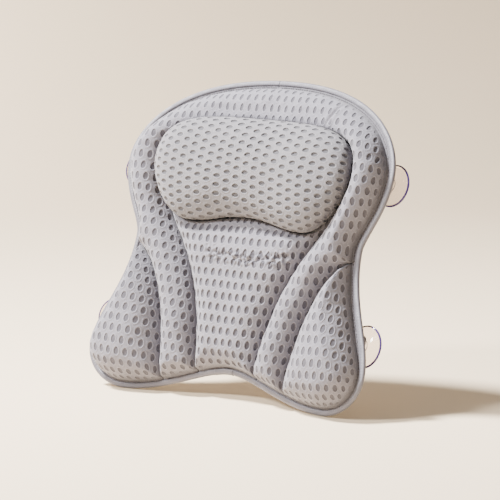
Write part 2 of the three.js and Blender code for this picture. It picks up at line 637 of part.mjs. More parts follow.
// A webbing tab that lies on the panel and on the binding, and bridges the knob of its cup
function tab() {
  const top = KNOB_DIAMETER * HALF + CLEARANCE;
  const front = [[-TAB_INNER_REACH, CLEARANCE], [-top - TAB_RAMP, CLEARANCE], [-top, TAB_FRONT],
    [top, TAB_FRONT], [top + TAB_RAMP, CLEARANCE], [TAB_OUTER_REACH, CLEARANCE]];
  const back = front.map(([x, y]) => [x, y + TAB_THICKNESS]).reverse();
  const strip = new THREE.Shape([...front, ...back].map(([x, y]) => place(x, y)));
  const body = new THREE.ExtrudeGeometry(strip, { depth: TAB_WIDTH, bevelEnabled: false });
  body.translate(0, 0, -TAB_WIDTH * HALF);
  const slotRadius = NECK_DIAMETER * HALF + CLEARANCE;
  const straight = BUTTONHOLE_LENGTH * HALF - slotRadius;
  const slot = new THREE.Shape();
  slot.absarc(0, straight, slotRadius, 0, Math.PI);
  slot.absarc(0, -straight, slotRadius, Math.PI, Math.PI * 2);
  const depth = TAB_THICKNESS + OVERRUN * 2;
  const settings = { depth, bevelEnabled: false, curveSegments: BUTTONHOLE_SEGMENTS };
  const cutter = new THREE.ExtrudeGeometry(slot, settings);
  cutter.rotateX(-Math.PI * HALF);
  cutter.translate(0, TAB_FRONT - OVERRUN, 0);
  return fromSolid(toSolid(body).subtract(toSolid(cutter)));
}

// Materials

const fabric = (color) => new THREE.MeshStandardMaterial({ color, roughness: 0.95, metalness: 0 });
const materials = {
  mesh: fabric(0xb9b4b7),
  headMesh: fabric(0xc2bec1),
  backMesh: fabric(0xaaa6aa),
  wadding: fabric(0xeeece8),
  tape: new THREE.MeshStandardMaterial({ color: 0xa9a7ac, roughness: 0.6, metalness: 0 }),
  webbing: fabric(0xa3a0a5),
  clear: new THREE.MeshPhysicalMaterial({
    color: 0xeef0f4, roughness: 0.12, transmission: 0.85, thickness: CUP_LIP_THICKNESS,
  }),
};

// Assembly

const pillow = new THREE.Group();

function add(name, geometry, material, holder = pillow) {
  const piece = new THREE.Mesh(geometry, material);
  piece.name = name;
  holder.add(piece);
}

const centre = rowChamber(centreRows(), CENTRE_CROWN, CENTRE_ROLL, CENTRE_COLUMN_SHARES);
const band = rowChamber(yokeRows(), YOKE_CROWN, YOKE_ROLL, YOKE_COLUMN_SHARES);
const head = headPillow();
add('centre_panel', centre.cover, materials.mesh);
add('centre_wadding', centre.fill, materials.wadding);
add('yoke_panel', band.cover, materials.mesh);
add('yoke_wadding', band.fill, materials.wadding);
add('back_panel', backPanel(), materials.backMesh);
add('head_pillow_cover', head.cover, materials.headMesh);
add('head_pillow_wadding', head.fill, materials.wadding);
add('head_pillow_base', head.base, materials.backMesh);

const tapeSection = foldedSection(BINDING_WALL, BINDING_GRIP, 0);
const joinSection = foldedSection(JOIN_WALL, REAR + CLEARANCE, -CLEARANCE - JOIN_WALL);
const [joinStart, joinEnd] = [-JOIN_LEFT, JOIN_RIGHT].map((reach) => reach / edge.getLength());
const underJoin = [...mirroredShares(rimShares), ...rimShares]
  .filter((share) => share > joinStart && share < joinEnd);
add('binding_join', foldedTape(joinSection, [joinStart, ...underJoin, joinEnd], 0), materials.tape);

for (const [hand, side] of [['left', -1], ['right', 1]]) {
  const lobe = roundChamber(lobeBorder(), lobeMiddle(), LOBE_CROWN, LOBE_ROLL, side);
  add(`${hand}_lobe_panel`, lobe.cover, materials.mesh);
  add(`${hand}_lobe_wadding`, lobe.fill, materials.wadding);
  const shares = side < 0 ? [...mirroredShares(rimShares), 0] : rimShares;
  add(`${hand}_binding`, foldedTape(tapeSection, shares, side), materials.tape);
  for (const [level, height] of [['upper', CUP_UPPER], ['lower', CUP_LOWER]]) {
    const station = new THREE.Group();
    const axis = CUP_SPACING * HALF;
    station.position.copy(onPanel(place(axis * side, height), -REAR));
    // The panel's slope turns the station, and half a turn about Y points its X at the left rim
    station.rotation.order = 'ZYX';
    station.rotation.set(0, side < 0 ? Math.PI : 0, -side * cupTilt(axis));
    add(`${level}_${hand}_cup`, suctionCup(), materials.clear, station);
    add(`${level}_${hand}_tab`, tab(), materials.webbing, station);
    pillow.add(station);
  }
}

// The wall touches the hindmost point of each cup, which is the part of its rim nearest to the panel's middle
const tilt = cupTilt(CUP_SPACING * HALF);
const rimBack = CUP_RIM * Math.cos(tilt) + CUP_DIAMETER * HALF * Math.sin(tilt);
const wallBack = REAR - sagAt(CUP_SPACING * HALF) + rimBack;
pillow.position.set(0, -wallBack, -(CUP_UPPER + CUP_LOWER) * HALF);

const leaning = new THREE.Group();
leaning.add(pillow);
leaning.rotation.x = -degToRad(LEAN_ANGLE);

export default leaning;
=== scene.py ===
"""Bath pillow: air-mesh covers, satin binding, clear cups and stitching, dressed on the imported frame."""
import math
import bpy
import numpy as np
from mathutils import Matrix, Vector


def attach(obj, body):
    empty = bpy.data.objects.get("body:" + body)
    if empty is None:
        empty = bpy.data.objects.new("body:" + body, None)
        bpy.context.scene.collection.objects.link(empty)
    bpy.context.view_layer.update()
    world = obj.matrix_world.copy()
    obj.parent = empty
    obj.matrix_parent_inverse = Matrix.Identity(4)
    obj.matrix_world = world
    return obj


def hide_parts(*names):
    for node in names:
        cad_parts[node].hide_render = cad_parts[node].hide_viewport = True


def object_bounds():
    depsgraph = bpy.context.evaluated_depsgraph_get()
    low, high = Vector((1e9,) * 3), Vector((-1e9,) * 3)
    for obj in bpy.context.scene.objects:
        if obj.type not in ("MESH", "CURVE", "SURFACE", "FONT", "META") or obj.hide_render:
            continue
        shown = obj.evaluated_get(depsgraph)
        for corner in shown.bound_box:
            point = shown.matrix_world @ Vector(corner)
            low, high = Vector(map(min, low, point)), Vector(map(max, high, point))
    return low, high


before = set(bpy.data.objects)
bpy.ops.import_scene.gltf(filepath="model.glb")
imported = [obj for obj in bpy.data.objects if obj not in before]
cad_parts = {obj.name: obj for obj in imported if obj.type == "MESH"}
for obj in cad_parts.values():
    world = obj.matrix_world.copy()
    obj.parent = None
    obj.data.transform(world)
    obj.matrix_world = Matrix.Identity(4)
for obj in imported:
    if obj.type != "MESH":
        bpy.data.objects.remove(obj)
CAD_BOX = [list(corner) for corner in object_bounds()]
BODY = "pillow"
MM = 0.001
HANDS = (("left", -1), ("right", 1))

# sizes in millimetres: the solids' own, but the head pillow is 3 mm narrower and nearer the middle
PANEL_HEIGHT, SHOULDER_WIDTH, SHOULDER_HEIGHT = 376, 377, 270
WAIST_WIDTH, WAIST_HEIGHT, LOBE_WIDTH, LOBE_HEIGHT = 320, 182, 390, 47
FOOT_SPACING, ARCH_RISE, PANEL_SAG, LEAN = 286, 32, 19, math.radians(17)
SEAM_HEIGHT = 175
BASE, PLY, FLAT_PLY, GAP = 0.15, 3.0, 1.5, 0.3
REAR = BASE + PLY
BED_HEIGHT, BLEND = 8, 4
HEAD_BASE_PLY = 2
HEAD_FOOT = BASE + FLAT_PLY + BED_HEIGHT + GAP + HEAD_BASE_PLY + GAP
HEAD_CROWN, HEAD_ROLL, HEAD_WIDEST, HEAD_TUCK = 46, 72, 13, 10
HEAD_WIDTH, HEAD_TOP, HEAD_MIDDLE, HEAD_LOW, HEAD_HOLLOW = 274, 324, 266, 199.5, 209.5
HEAD_LOW_SPACING = 162  # between its two lowest places
HEAD_ASIDE, HEAD_ASKEW = 4.6, math.radians(-1.8)  # sewn on a little to the right and askew
CUP_SPACING, CUP_UPPER, CUP_LOWER, CUP_RADIUS, CUP_BELL = 352, 261.5, 81.5, 24, 6.5
KNOB_THICKNESS, STRAP_THICKNESS = 2.4, 1.2
KNOB_BACK = GAP + KNOB_THICKNESS
BELL_FRONT = KNOB_BACK + GAP + STRAP_THICKNESS + GAP
CUP_RIM = BELL_FRONT + CUP_BELL
EDGE_HALF = LOBE_WIDTH / 2
CUP_TILT = math.atan(PANEL_SAG * CUP_SPACING / EDGE_HALF ** 2)
WALL_BACK = (REAR + PANEL_SAG * (1 - (CUP_SPACING / 2 / EDGE_HALF) ** 2)
             + CUP_RIM * math.cos(CUP_TILT) + CUP_RADIUS * math.sin(CUP_TILT))
MIDWAY = (CUP_UPPER + CUP_LOWER) / 2

FINE = 0.9  # spacing of the covers' points
rng = np.random.default_rng(11)


# lines
def pt(u, v):
    return np.array([u, v], float)


def bezier(a, b, c, d, count=160):
    t = np.linspace(0, 1, count)[:, None]
    return (1 - t) ** 3 * a + 3 * (1 - t) ** 2 * t * b + 3 * (1 - t) * t * t * c + t ** 3 * d


def lengths(line):
    return np.concatenate([[0], np.cumsum(np.linalg.norm(np.diff(line, axis=0), axis=1))])


def at_length(line, where):
    s = lengths(line)
    return np.stack([np.interp(where, s, line[:, k]) for k in range(line.shape[1])], 1)


def respaced(line, step):
    total = lengths(line)[-1]
    return at_length(line, np.linspace(0, total, max(2, int(round(total / step)) + 1)))


def joined(*lines):
    out = [lines[0]]
    for line in lines[1:]:
        out.append(line[1:] if np.allclose(out[-1][-1], line[0], atol=1e-6) else line)
    return np.concatenate(out)


def mirrored(line):
    return (line * [-1, 1])[::-1]


def unit(ways):
    return ways / np.linalg.norm(ways, axis=1)[:, None]


def leftward(ways):
    """The unit ways to the left of these"""
    x, y = unit(ways).T
    return np.stack([-y, x], 1)


def beside(line, distance):
    """A line moved to its left side, as it runs"""
    return line + leftward(np.gradient(line, axis=0)) * distance


def inset(loop, amount):
    """A closed loop, run anticlockwise, moved inwards"""
    return loop + leftward(np.roll(loop, -1, 0) - np.roll(loop, 1, 0)) * amount


def lerp(a, b, t):
    return a + (b - a) * t


def upright(a, b, low, high):
    """A curve that leaves one place and reaches the other upright"""
    return bezier(a, pt(a[0], lerp(a[1], b[1], low)), pt(b[0], lerp(b[1], a[1], high)), b)


# the panel's right half, from the middle of the arch round to the top middle; handles are shares of sizes
def outline_half():
    foot, waist, shoulder = FOOT_SPACING / 2, WAIST_WIDTH / 2, SHOULDER_WIDTH / 2
    e, top = EDGE_HALF, PANEL_HEIGHT
    return joined(
        bezier(pt(0, ARCH_RISE), pt(foot * 0.24, ARCH_RISE), pt(foot * 0.61, 0), pt(foot, 0)),
        bezier(pt(foot, 0), pt(lerp(foot, e, 0.57), 0), pt(e, LOBE_HEIGHT * 0.47), pt(e, LOBE_HEIGHT)),
        upright(pt(e, LOBE_HEIGHT), pt(waist, WAIST_HEIGHT), 0.28, 0.43),
        upright(pt(waist, WAIST_HEIGHT), pt(shoulder, SHOULDER_HEIGHT), 0.21, 0.48),
        bezier(pt(shoulder, SHOULDER_HEIGHT), pt(shoulder, lerp(SHOULDER_HEIGHT, top, 0.34)),
               pt(shoulder * 0.78, top), pt(0, top)))


def head_half():
    side, low = HEAD_WIDTH / 2, HEAD_LOW_SPACING / 2
    return joined(
        bezier(pt(0, HEAD_HOLLOW), pt(low * 0.46, HEAD_HOLLOW), pt(low * 0.6, HEAD_LOW), pt(low, HEAD_LOW)),
        bezier(pt(low, HEAD_LOW), pt(lerp(low, side, 0.51), HEAD_LOW),
               pt(side, lerp(HEAD_LOW, HEAD_MIDDLE, 0.63)), pt(side, HEAD_MIDDLE)),
        bezier(pt(side, HEAD_MIDDLE), pt(side, lerp(HEAD_TOP, HEAD_MIDDLE, 0.02)), pt(side * 0.62, HEAD_TOP),
               pt(0, HEAD_TOP)))


EDGE = respaced(outline_half(), 0.5)
EDGE_LENGTH = lengths(EDGE)[-1]
FEW_EDGE = EDGE[::4]
ARCH_EDGE = EDGE[:400]
HEAD_EDGE = respaced(head_half(), 1.0)
TAPE_INNER = 6.5  # from the panel's edge to the covers' own edge


def first_length(mask):
    return lengths(EDGE)[np.argmax(mask)]


def tape_line(a, b):
    """The covers' own edge beside the tape, from one length of the rim to another"""
    return beside(at_length(EDGE, np.arange(a, b + 0.5, 1.0).clip(a, b)), TAPE_INNER)


def rim_frames(s):
    """Places on the edge at these lengths, and the way inwards at each"""
    after, before = (at_length(EDGE, (s + step).clip(0, EDGE_LENGTH)) for step in (0.6, -0.6))
    return at_length(EDGE, s), leftward(after - before)


def arch_height(u):
    """The height at which the covers end above the arch"""
    return np.interp(np.abs(u), ARCH_EDGE[:, 0], ARCH_EDGE[:, 1]) + TAPE_INNER


def seam_curve(foot, end, handles):
    (u0, v0), (u1, v1) = handles
    return bezier(foot, pt(lerp(foot[0], end[0], u0), lerp(foot[1], end[1], v0)),
                  pt(lerp(foot[0], end[0], u1), lerp(foot[1], end[1], v1)), end)


INNER_FOOT_ASIDE, OUTER_FOOT_ASIDE = 41, 87
INNER_HALF, INNER_STRAIGHT, INNER_SHOULDER, INNER_CORNER = 126, 258, 270.0, 36
outer_foot = first_length(EDGE[:, 0] >= OUTER_FOOT_ASIDE)
waist_at = first_length((EDGE[:, 0] > FOOT_SPACING / 2) & (EDGE[:, 1] >= SEAM_HEIGHT))
INNER_FOOT, OUTER_FOOT, WAIST_END = at_length(EDGE, [first_length(EDGE[:, 0] >= INNER_FOOT_ASIDE), outer_foot,
                                                     waist_at])
OUTER_SEAM = seam_curve(OUTER_FOOT, WAIST_END, [(0.09, 0.55), (0.46, 0.93)])
corner = np.linspace(0, math.pi / 2, 24)
INNER_SIDE = joined(seam_curve(INNER_FOOT, pt(INNER_HALF, INNER_STRAIGHT), [(0.14, 0.68), (1, 0.7)]),
                    np.array([[INNER_HALF, INNER_SHOULDER]]),
                    np.stack([INNER_HALF - INNER_CORNER * (1 - np.cos(corner)),
                              INNER_SHOULDER + INNER_CORNER * np.sin(corner)], 1))
INNER_TOP = np.array([INNER_SIDE[-1], [0, INNER_SHOULDER + INNER_CORNER]])


# from the panel to the world
def sag(u):
    return -PANEL_SAG * (1 - (u / EDGE_HALF) ** 2)


def on_panel(u, v, h):
    """Places in the unleaned pillow's frame, in millimetres"""
    return np.stack([u, -h - sag(u) - WALL_BACK, v - MIDWAY], -1)


def placed(uvh):
    return on_panel(uvh[..., 0], uvh[..., 1], uvh[..., 2])


def leaned(p):
    """The same places in the world, in metres"""
    x, y, z = p[..., 0], p[..., 1], p[..., 2]
    c, s = math.cos(LEAN), math.sin(LEAN)
    return np.stack([x, y * c + z * s, -y * s + z * c], -1) * MM


# distances
def in_chunks(p, measure, chunk=4000):
    """A measure of many places, taken some thousand at a time to save memory"""
    flat = p.reshape(-1, 2)
    parts = [measure(flat[i:i + chunk, None, :]) for i in range(0, len(flat), chunk)]
    return np.concatenate(parts).reshape(p.shape[:-1])


def loop_depth(p, loop):
    """How deep each place lies inside a closed loop: the true distance near it, and smooth in the middle"""
    along = np.roll(loop, -1, 0) - loop
    size = np.linalg.norm(along, axis=1)
    keep = size > 1e-6
    a, along, size = loop[keep], along[keep] / size[keep, None], size[keep]

    def measure(q):
        d = q - a
        s = d[..., 0] * along[:, 0] + d[..., 1] * along[:, 1]
        h2 = np.maximum(d[..., 0] ** 2 + d[..., 1] ** 2 - s * s, 1e-4)
        s2 = s - size
        return np.sqrt(2 / ((s / np.sqrt(h2 + s * s) - s2 / np.sqrt(h2 + s2 * s2)) / h2).sum(1))
    return in_chunks(p, measure)


def line_distance(p, line):
    a, ab = line[:-1], np.diff(line, axis=0)

    def measure(q):
        t = (((q - a) * ab).sum(-1) / np.maximum((ab ** 2).sum(-1), 1e-9)).clip(0, 1)
        return np.sqrt((((a + ab * t[..., None]) - q) ** 2).sum(-1).min(1))
    return in_chunks(p, measure)


def inside(p, loop):
    a, b = loop, np.roll(loop, -1, 0)
    x, y = p[..., 0, None], p[..., 1, None]
    crosses = (a[:, 1] > y) != (b[:, 1] > y)
    at = a[:, 0] + (b[:, 0] - a[:, 0]) * (y - a[:, 1]) / np.where(b[:, 1] == a[:, 1], 1e-9, b[:, 1] - a[:, 1])
    return ((crosses & (x < at)).sum(-1) % 2) == 1


def round_rise(x, power=0.5):
    return (1 - (1 - np.clip(x, 0, 1)) ** 2) ** power


def soft_min(a, b, blend):
    return (a + b - np.hypot(a - b, blend)) / 2


def smooth(x, a, b):
    t = np.clip((x - a) / (b - a), 0, 1)
    return t * t * (3 - 2 * t)


def ripple(u, v, wavelength, count, seed):
    """Smooth uneven waves of about one wavelength, between -1 and 1"""
    r = np.random.default_rng(seed)
    total = np.zeros(np.shape(u))
    for _ in range(count):
        angle, phase = r.uniform(0, 2 * math.pi, 2)
        k = 2 * math.pi / (wavelength * r.uniform(0.75, 1.35))
        total += np.sin(k * (math.cos(angle) * u + math.sin(angle) * v) + phase)
    return total / math.sqrt(count / 2) / 1.6


def askew(p):
    """From the head pillow's own middle line to its place on the panel"""
    c, s = math.cos(HEAD_ASKEW), math.sin(HEAD_ASKEW)
    u, v = p[..., 0], p[..., 1] - HEAD_MIDDLE
    return np.stack([u * c - v * s + HEAD_ASIDE, u * s + v * c + HEAD_MIDDLE], -1)


HEAD_LOOP = askew(joined(HEAD_EDGE, mirrored(HEAD_EDGE))[:-1])
HEAD_RING = joined(HEAD_LOOP, HEAD_LOOP[:1])[::3]


def from_head(p):
    """Distance from the head pillow's outline, negative under it"""
    return line_distance(p, HEAD_RING) * np.where(inside(p, HEAD_LOOP[::3]), -1, 1)


# heights up the panel between which its shape changes
VALLEY, HUG = (204, 232), (296, 322)
LOBE_MARGIN, TOP_MARGIN = (40, 90), (295, 335)
HOOP_TOP, NARROW_TOP = (296, 338), (318, 338)


def bed_at(away, v):
    """The most that a chamber may rise: it is pressed flat under the head pillow and hollow beside it"""
    under = np.clip(1 + away / HEAD_TUCK, 0, 1)
    hug = smooth(v, *HUG)
    steep = 0.65 + 1.5 * smooth(v, *VALLEY) + 2.8 * hug
    side = HEAD_WIDEST * lerp(0.66, 1.1, hug) * (1 - np.sqrt(1 - under ** 2))
    return BED_HEIGHT + side + np.maximum(away, 0) * steep


# the air mesh's pattern: cells, and the width and height of a hole
PITCH, CELL = 10.4, 26.0
HOLE = (5.9, 9.7)
HEAD_HOLE = (5.5, 9.0)
CENTRE_DEEP, YOKE_DEEP, LOBE_DEEP, HEAD_DEEP = 1.35, 0.7, 0.55, 1.4


def hole_at(a, b, width, hole):
    """How far out of the nearest hole a place lies, 0 in its middle and 1 on its rim; a and b in cells"""
    best = np.full(np.shape(a), 9.0)
    for shift in (0, 0.5):
        x = (a + shift - np.round(a + shift)) * PITCH
        y = (b + shift - np.round(b + shift)) * CELL
        best = np.minimum(best, np.hypot(x / (hole[0] / 2 * width), y / (hole[1] / 2)))
    return best


def extra_length(depth, crown, roll):
    """How much longer the cloth is than its plan, from this depth in to where the chamber is flat"""
    x = np.linspace(0, 1, 800)
    rise = crown * round_rise(x)
    more = np.hypot(np.diff(rise), np.diff(x) * roll) - np.diff(x) * roll
    from_middle = np.concatenate([[0], np.cumsum(more[::-1])])[::-1]
    return np.interp(depth / roll, x, from_middle)


# meshes
def signed_volume(points, faces):
    tris = np.concatenate([faces[:, [0, 1, 2]], faces[:, [0, 2, 3]]]) if faces.shape[1] == 4 else faces
    a, b, c = (points[tris[:, k]] for k in range(3))
    return (a * np.cross(b, c)).sum() / 6


def fan(a, b, tip):
    return np.stack([a, b, np.full(len(a), tip)], 1)


def neighbours(count):
    """The numbers round a ring, and the next one for each"""
    return np.arange(count), (np.arange(count) + 1) % count


def linked(name, data):
    thing = bpy.data.objects.new(name, data)
    bpy.context.collection.objects.link(thing)
    return thing


def make_piece(name, points, quads, material, tris=None, uv=None, marks=None):
    """A mesh from points in metres, quads, triangles, and a UV place and marks for each point"""
    tris = np.zeros((0, 3), int) if tris is None else np.asarray(tris)
    if signed_volume(points, quads) + signed_volume(points, tris) < 0:
        quads, tris = quads[:, ::-1], tris[:, ::-1]
    mesh = bpy.data.meshes.new(name)
    mesh.vertices.add(len(points))
    mesh.vertices.foreach_set("co", points.astype(np.float32).ravel())
    corners = np.concatenate([quads.ravel(), tris.ravel()]).astype(np.int32)
    sizes = np.concatenate([np.full(len(quads), 4), np.full(len(tris), 3)])
    starts = np.cumsum(sizes) - sizes
    mesh.loops.add(len(corners))
    mesh.loops.foreach_set("vertex_index", corners)
    mesh.polygons.add(len(sizes))
    mesh.polygons.foreach_set("loop_start", starts.astype(np.int32))
    mesh.polygons.foreach_set("use_smooth", np.ones(len(sizes), bool))
    mesh.update(calc_edges=True)
    mesh.validate()
    if uv is not None:
        layer = mesh.uv_layers.new(name="weave")
        layer.data.foreach_set("uv", uv[corners].astype(np.float32).ravel())
    for key, values in (marks or {}).items():
        attribute = mesh.attributes.new(key, "FLOAT", "POINT")
        attribute.data.foreach_set("value", values.astype(np.float32).ravel())
    mesh.materials.append(material)
    return linked(name, mesh)


def grid_faces(rows, columns, closed=False):
    i, j = np.meshgrid(np.arange(rows - 1), np.arange(columns if closed else columns - 1), indexing="ij")
    k = (j + 1) % columns
    low, high = i * columns, (i + 1) * columns
    return np.stack([low + j, low + k, high + k, high + j], -1).reshape(-1, 4)


def zipped(a, b):
    """Triangles between two runs of points that start and end side by side"""
    tris, i, j = [], 0, 0
    while i < len(a) - 1 or j < len(b) - 1:
        if j == len(b) - 1 or (i < len(a) - 1 and (i + 1) * (len(b) - 1) <= (j + 1) * (len(a) - 1)):
            tris.append((a[i], b[j], a[i + 1]))
            i += 1
        else:
            tris.append((a[i], b[j], b[j + 1]))
            j += 1
    return tris


def slopes(values, closed):
    """How the values of a grid change from row to row, and from column to column"""
    if closed:
        return np.gradient(values, axis=0), (np.roll(values, -1, 1) - np.roll(values, 1, 1)) / 2
    return np.gradient(values, axis=0), np.gradient(values, axis=1)


def normals(p, closed):
    n = np.cross(*slopes(p, closed))
    n /= np.maximum(np.linalg.norm(n, axis=-1, keepdims=True), 1e-9)
    return n * np.where((n[..., 1].mean() > 0), -1, 1)


def usual_width(uvh):
    """How long a row of the grid usually is, along the cloth"""
    return np.median([lengths(row)[-1] for row in placed(uvh[::10])])


def even_columns(uvh, count):
    """Each row of a grid spaced anew, evenly along the cloth"""
    p = placed(uvh)
    out = np.empty((len(uvh), count, uvh.shape[2]))
    for i, row in enumerate(p):
        s = lengths(row)
        where = np.linspace(0, s[-1], count)
        for k in range(uvh.shape[2]):
            out[i, :, k] = np.interp(where, s, uvh[i, :, k])
    return out


def even_rows(uvh, count):
    """The rows of a grid spaced anew, evenly along its middle column"""
    middle = uvh[:, uvh.shape[1] // 2]
    s = lengths(placed(middle))
    where = np.linspace(0, s[-1], count)
    i = np.interp(where, s, np.arange(len(s)))
    low = np.minimum(i.astype(int), len(s) - 2)
    share = (i - low)[:, None, None]
    return uvh[low] * (1 - share) + uvh[low + 1] * share


# the shape of each chamber: its crown's height, its roll (how far in it gets flat) and its roundness
CENTRE_SHAPE, YOKE_SHAPE, LOBE_SHAPE = (28, 34, 0.5), (32, 26, 0.62), (40, 36, 0.64)
LOBE_MIDDLE = pt(141, 73.5)
SEAM_KEEP = 0.55  # from a seam to each cover beside it
ROW_STEP = 1.6
YOKE_ROWS = (126, 190)
TUCK_HEIGHT, TUCK_MIDDLE, TUCK_BEND = 161, 16, 0.0024
DART_LOW, DART_HIGH, DART_DEEP = pt(93, 321), pt(104, 346), 1.8


def open_depth(p, depth):
    """Depth inside a chamber, with a flat margin along the tape"""
    v = p[..., 1]
    folded = np.stack([np.abs(p[..., 0]), v], -1)
    rise_from = 8.5 + 2.7 * smooth(v, *LOBE_MARGIN) - 1.2 * smooth(v, *TOP_MARGIN)
    return np.maximum(soft_min(depth, line_distance(folded, FEW_EDGE) - rise_from, 0.6), 0)


def tuck_line(u):
    return TUCK_HEIGHT + TUCK_BEND * (u - TUCK_MIDDLE) ** 2


def tuck_share(u, v, half):
    """How near a place is to the short stitched tuck across the centre panel"""
    along = smooth(u, -48, -34) * smooth(-u, -82, -68)
    return along * np.exp(-((v - tuck_line(u)) / half) ** 2)


def tucked(p, n, u, v):
    """The tuck: a narrow furrow between two rough lips"""
    rough = ripple(u, v * 0.8, 5.0, 20, 71) * 1.5 + ripple(u, v, 10, 12, 72) * 1.0
    furrow = tuck_share(u, v, 2.4) * (1.7 + ripple(u, v * 0, 9, 10, 74) * 0.9)
    height = (0.7 + rough) * tuck_share(u, v, 6.5) - furrow
    return p + n * height[..., None]


def dart_height(p):
    """The crease where the cloth is gathered at the hoop's right shoulder"""
    along = DART_HIGH - DART_LOW
    size = np.hypot(*along)
    q = p - DART_LOW
    s = (q @ along) / size
    off = (q[..., 0] * along[1] - q[..., 1] * along[0]) / size
    share = smooth(s, -4, 8) * smooth(-s, -size - 4, -size + 12)
    return share * (-DART_DEEP * np.exp(-(off / 1.9) ** 2) + 0.9 * np.exp(-((off - 5) / 2.6) ** 2)
                    + 0.7 * np.exp(-((off + 5) / 3.0) ** 2))


def lower_hoop(v):
    """The hoop is flatter above the head pillow than at the shoulders"""
    return 1 - 0.32 * smooth(v, *HOOP_TOP)


def chamber_heights(p, depth, crown, roll, seed, power):
    """A dome with slow waves, and short ripples beside its seams"""
    u, v = p[..., 0], p[..., 1]
    h = soft_min(crown * round_rise(depth / roll, power), bed_at(from_head(p), v), BLEND)
    h = h + ripple(u, v, 46, 14, seed) * 0.8 * smooth(depth, 2, 16)
    near_seam = np.exp(-depth / 11) * smooth(depth, 0, 2.5)
    return BASE + FLAT_PLY + (h + ripple(u * 0.5, v, 13, 16, seed + 5) * near_seam)


def stacked(grid, h, depth):
    return np.concatenate([grid, h[..., None], depth[..., None]], -1)


def between(starts, ends, shares):
    """A grid from one line to another"""
    c = shares[None, :, None]
    return starts[:, None] * (1 - c) + ends[:, None] * c


def drawn_in(border, middle, count):
    """A grid from a closed border to its middle"""
    s = 0.5 - 0.5 * np.cos(np.linspace(0, math.pi * 0.75, count))
    return lerp(border[:, None], middle, (s / s[-1])[None, :, None])


def dressed(uvh, crown, roll, closed, turned=False, hoop=False):
    """A grid of heights as places and normals of the cloth, and the pattern's place at each point"""
    u, v, depth = uvh[..., 0], uvh[..., 1], uvh[..., 3]
    p = placed(uvh)
    (ui, uj), (vi, vj), (di, dj) = (slopes(values, closed) for values in (u, v, depth))
    area = ui * vj - uj * vi
    area = np.where(np.abs(area) < 1e-5, 1e-5, area)
    du, dv = (di * vj - dj * vi) / area, (dj * ui - di * uj) / area
    size = np.maximum(np.hypot(du, dv), 1)
    du, dv = du / size, dv / size
    more = extra_length(np.maximum(depth, 0), crown, roll)
    if hoop:
        more = more * lower_hoop(v) ** 1.6
    s, t = u - du * more, v - dv * more
    s = s + ripple(u, v, 90, 8, 3) * 0.5
    t = t + ripple(u, v, 80, 8, 4) * 0.7
    a, b = (t / PITCH, s / CELL) if turned else (s / PITCH, t / CELL)
    return p, normals(p, closed), a, b


def press_holes(p, n, a, b, width, strength, hole, deep):
    e = hole_at(a, b, width, hole)
    hollow = 1 - smooth(e, 0.74, 1.1)
    rim = np.exp(-((e - 1.2) / 0.18) ** 2)
    return p + n * ((-deep * hollow + 0.3 * rim) * strength)[..., None]


def row_cover(name, starts, ends, loop, shape, seed, bent, width_at, hoop=False):
    """A chamber made of rows from one seam to the other. bent(p) moves the end rows onto the panel's edge."""
    crown, roll, power = shape
    grid = bent(between(starts, ends, 0.5 - 0.5 * np.cos(np.linspace(0, math.pi, 110))))
    depth = open_depth(grid, loop_depth(grid, loop))
    full = crown * lower_hoop(grid[..., 1]) if hoop else crown
    h = chamber_heights(grid, depth, full, roll, seed, power)
    edge_rows = np.zeros(depth.shape, bool)
    edge_rows[[0, -1]] = edge_rows[:, [0, -1]] = True
    h = np.where(edge_rows, BASE + FLAT_PLY, h)
    uvh = stacked(grid, h, np.where(edge_rows, 0, depth))
    down = lengths(placed(uvh[:, 55]))[-1]
    uvh = even_rows(even_columns(uvh, int(usual_width(uvh) / FINE)), int(down / FINE))
    rows, columns = uvh.shape[:2]
    u, v, depth = uvh[..., 0], uvh[..., 1], uvh[..., 3]
    p, n, a, b = dressed(uvh, crown, roll, False, hoop=hoop)
    strength = smooth(depth, 0.3, 2.5) * smooth(from_head(uvh[..., :2]), 0.5, 4)
    width = width_at(v)
    if hoop:
        p = p + n * dart_height(uvh[..., :2])[..., None]
    else:
        b = b + 2.6 * np.tanh((v - tuck_line(u)) / 2.6) * tuck_share(u, v, 9) / CELL
        a = a + ripple(u, v, 9, 14, 73) * 0.14 * tuck_share(u, v, 6)
        p = tucked(p, n, u, v)
    p = press_holes(p, n, a, b, width, strength, HOLE, YOKE_DEEP if hoop else CENTRE_DEEP)
    # the back: a few columns, joined to the front all round
    few = np.linspace(0, columns - 1, 9).round().astype(int)
    wide, spare, base = len(few), rows * len(few), rows * columns
    back = on_panel(uvh[:, few, 0], uvh[:, few, 1], np.full((rows, wide), BASE))
    left = np.arange(rows - 1) * columns
    back_left = base + np.arange(rows - 1) * wide
    right, back_right = left + columns - 1, back_left + wide - 1
    quads = [grid_faces(rows, columns), base + grid_faces(rows, wide)[:, ::-1],
             np.stack([left, back_left, back_left + wide, left + columns], 1)[:, ::-1],
             np.stack([right, back_right, back_right + wide, right + columns], 1)]
    top, under = base - columns, base + spare - wide
    tris = zipped(range(columns), range(base, base + wide))
    tris += [t[::-1] for t in zipped(range(top, base), range(under, base + spare))]
    points = leaned(np.concatenate([p.reshape(-1, 3), back.reshape(-1, 3)]))
    uv = np.concatenate([np.stack([a, b], -1).reshape(-1, 2), np.zeros((spare, 2))])
    marks = {"hole_width": np.concatenate([width.ravel(), np.ones(spare)]),
             "depth": np.concatenate([depth.ravel(), np.zeros(spare)])}
    return make_piece(name, points, np.concatenate(quads), AIR_MESH, tris, uv, marks)


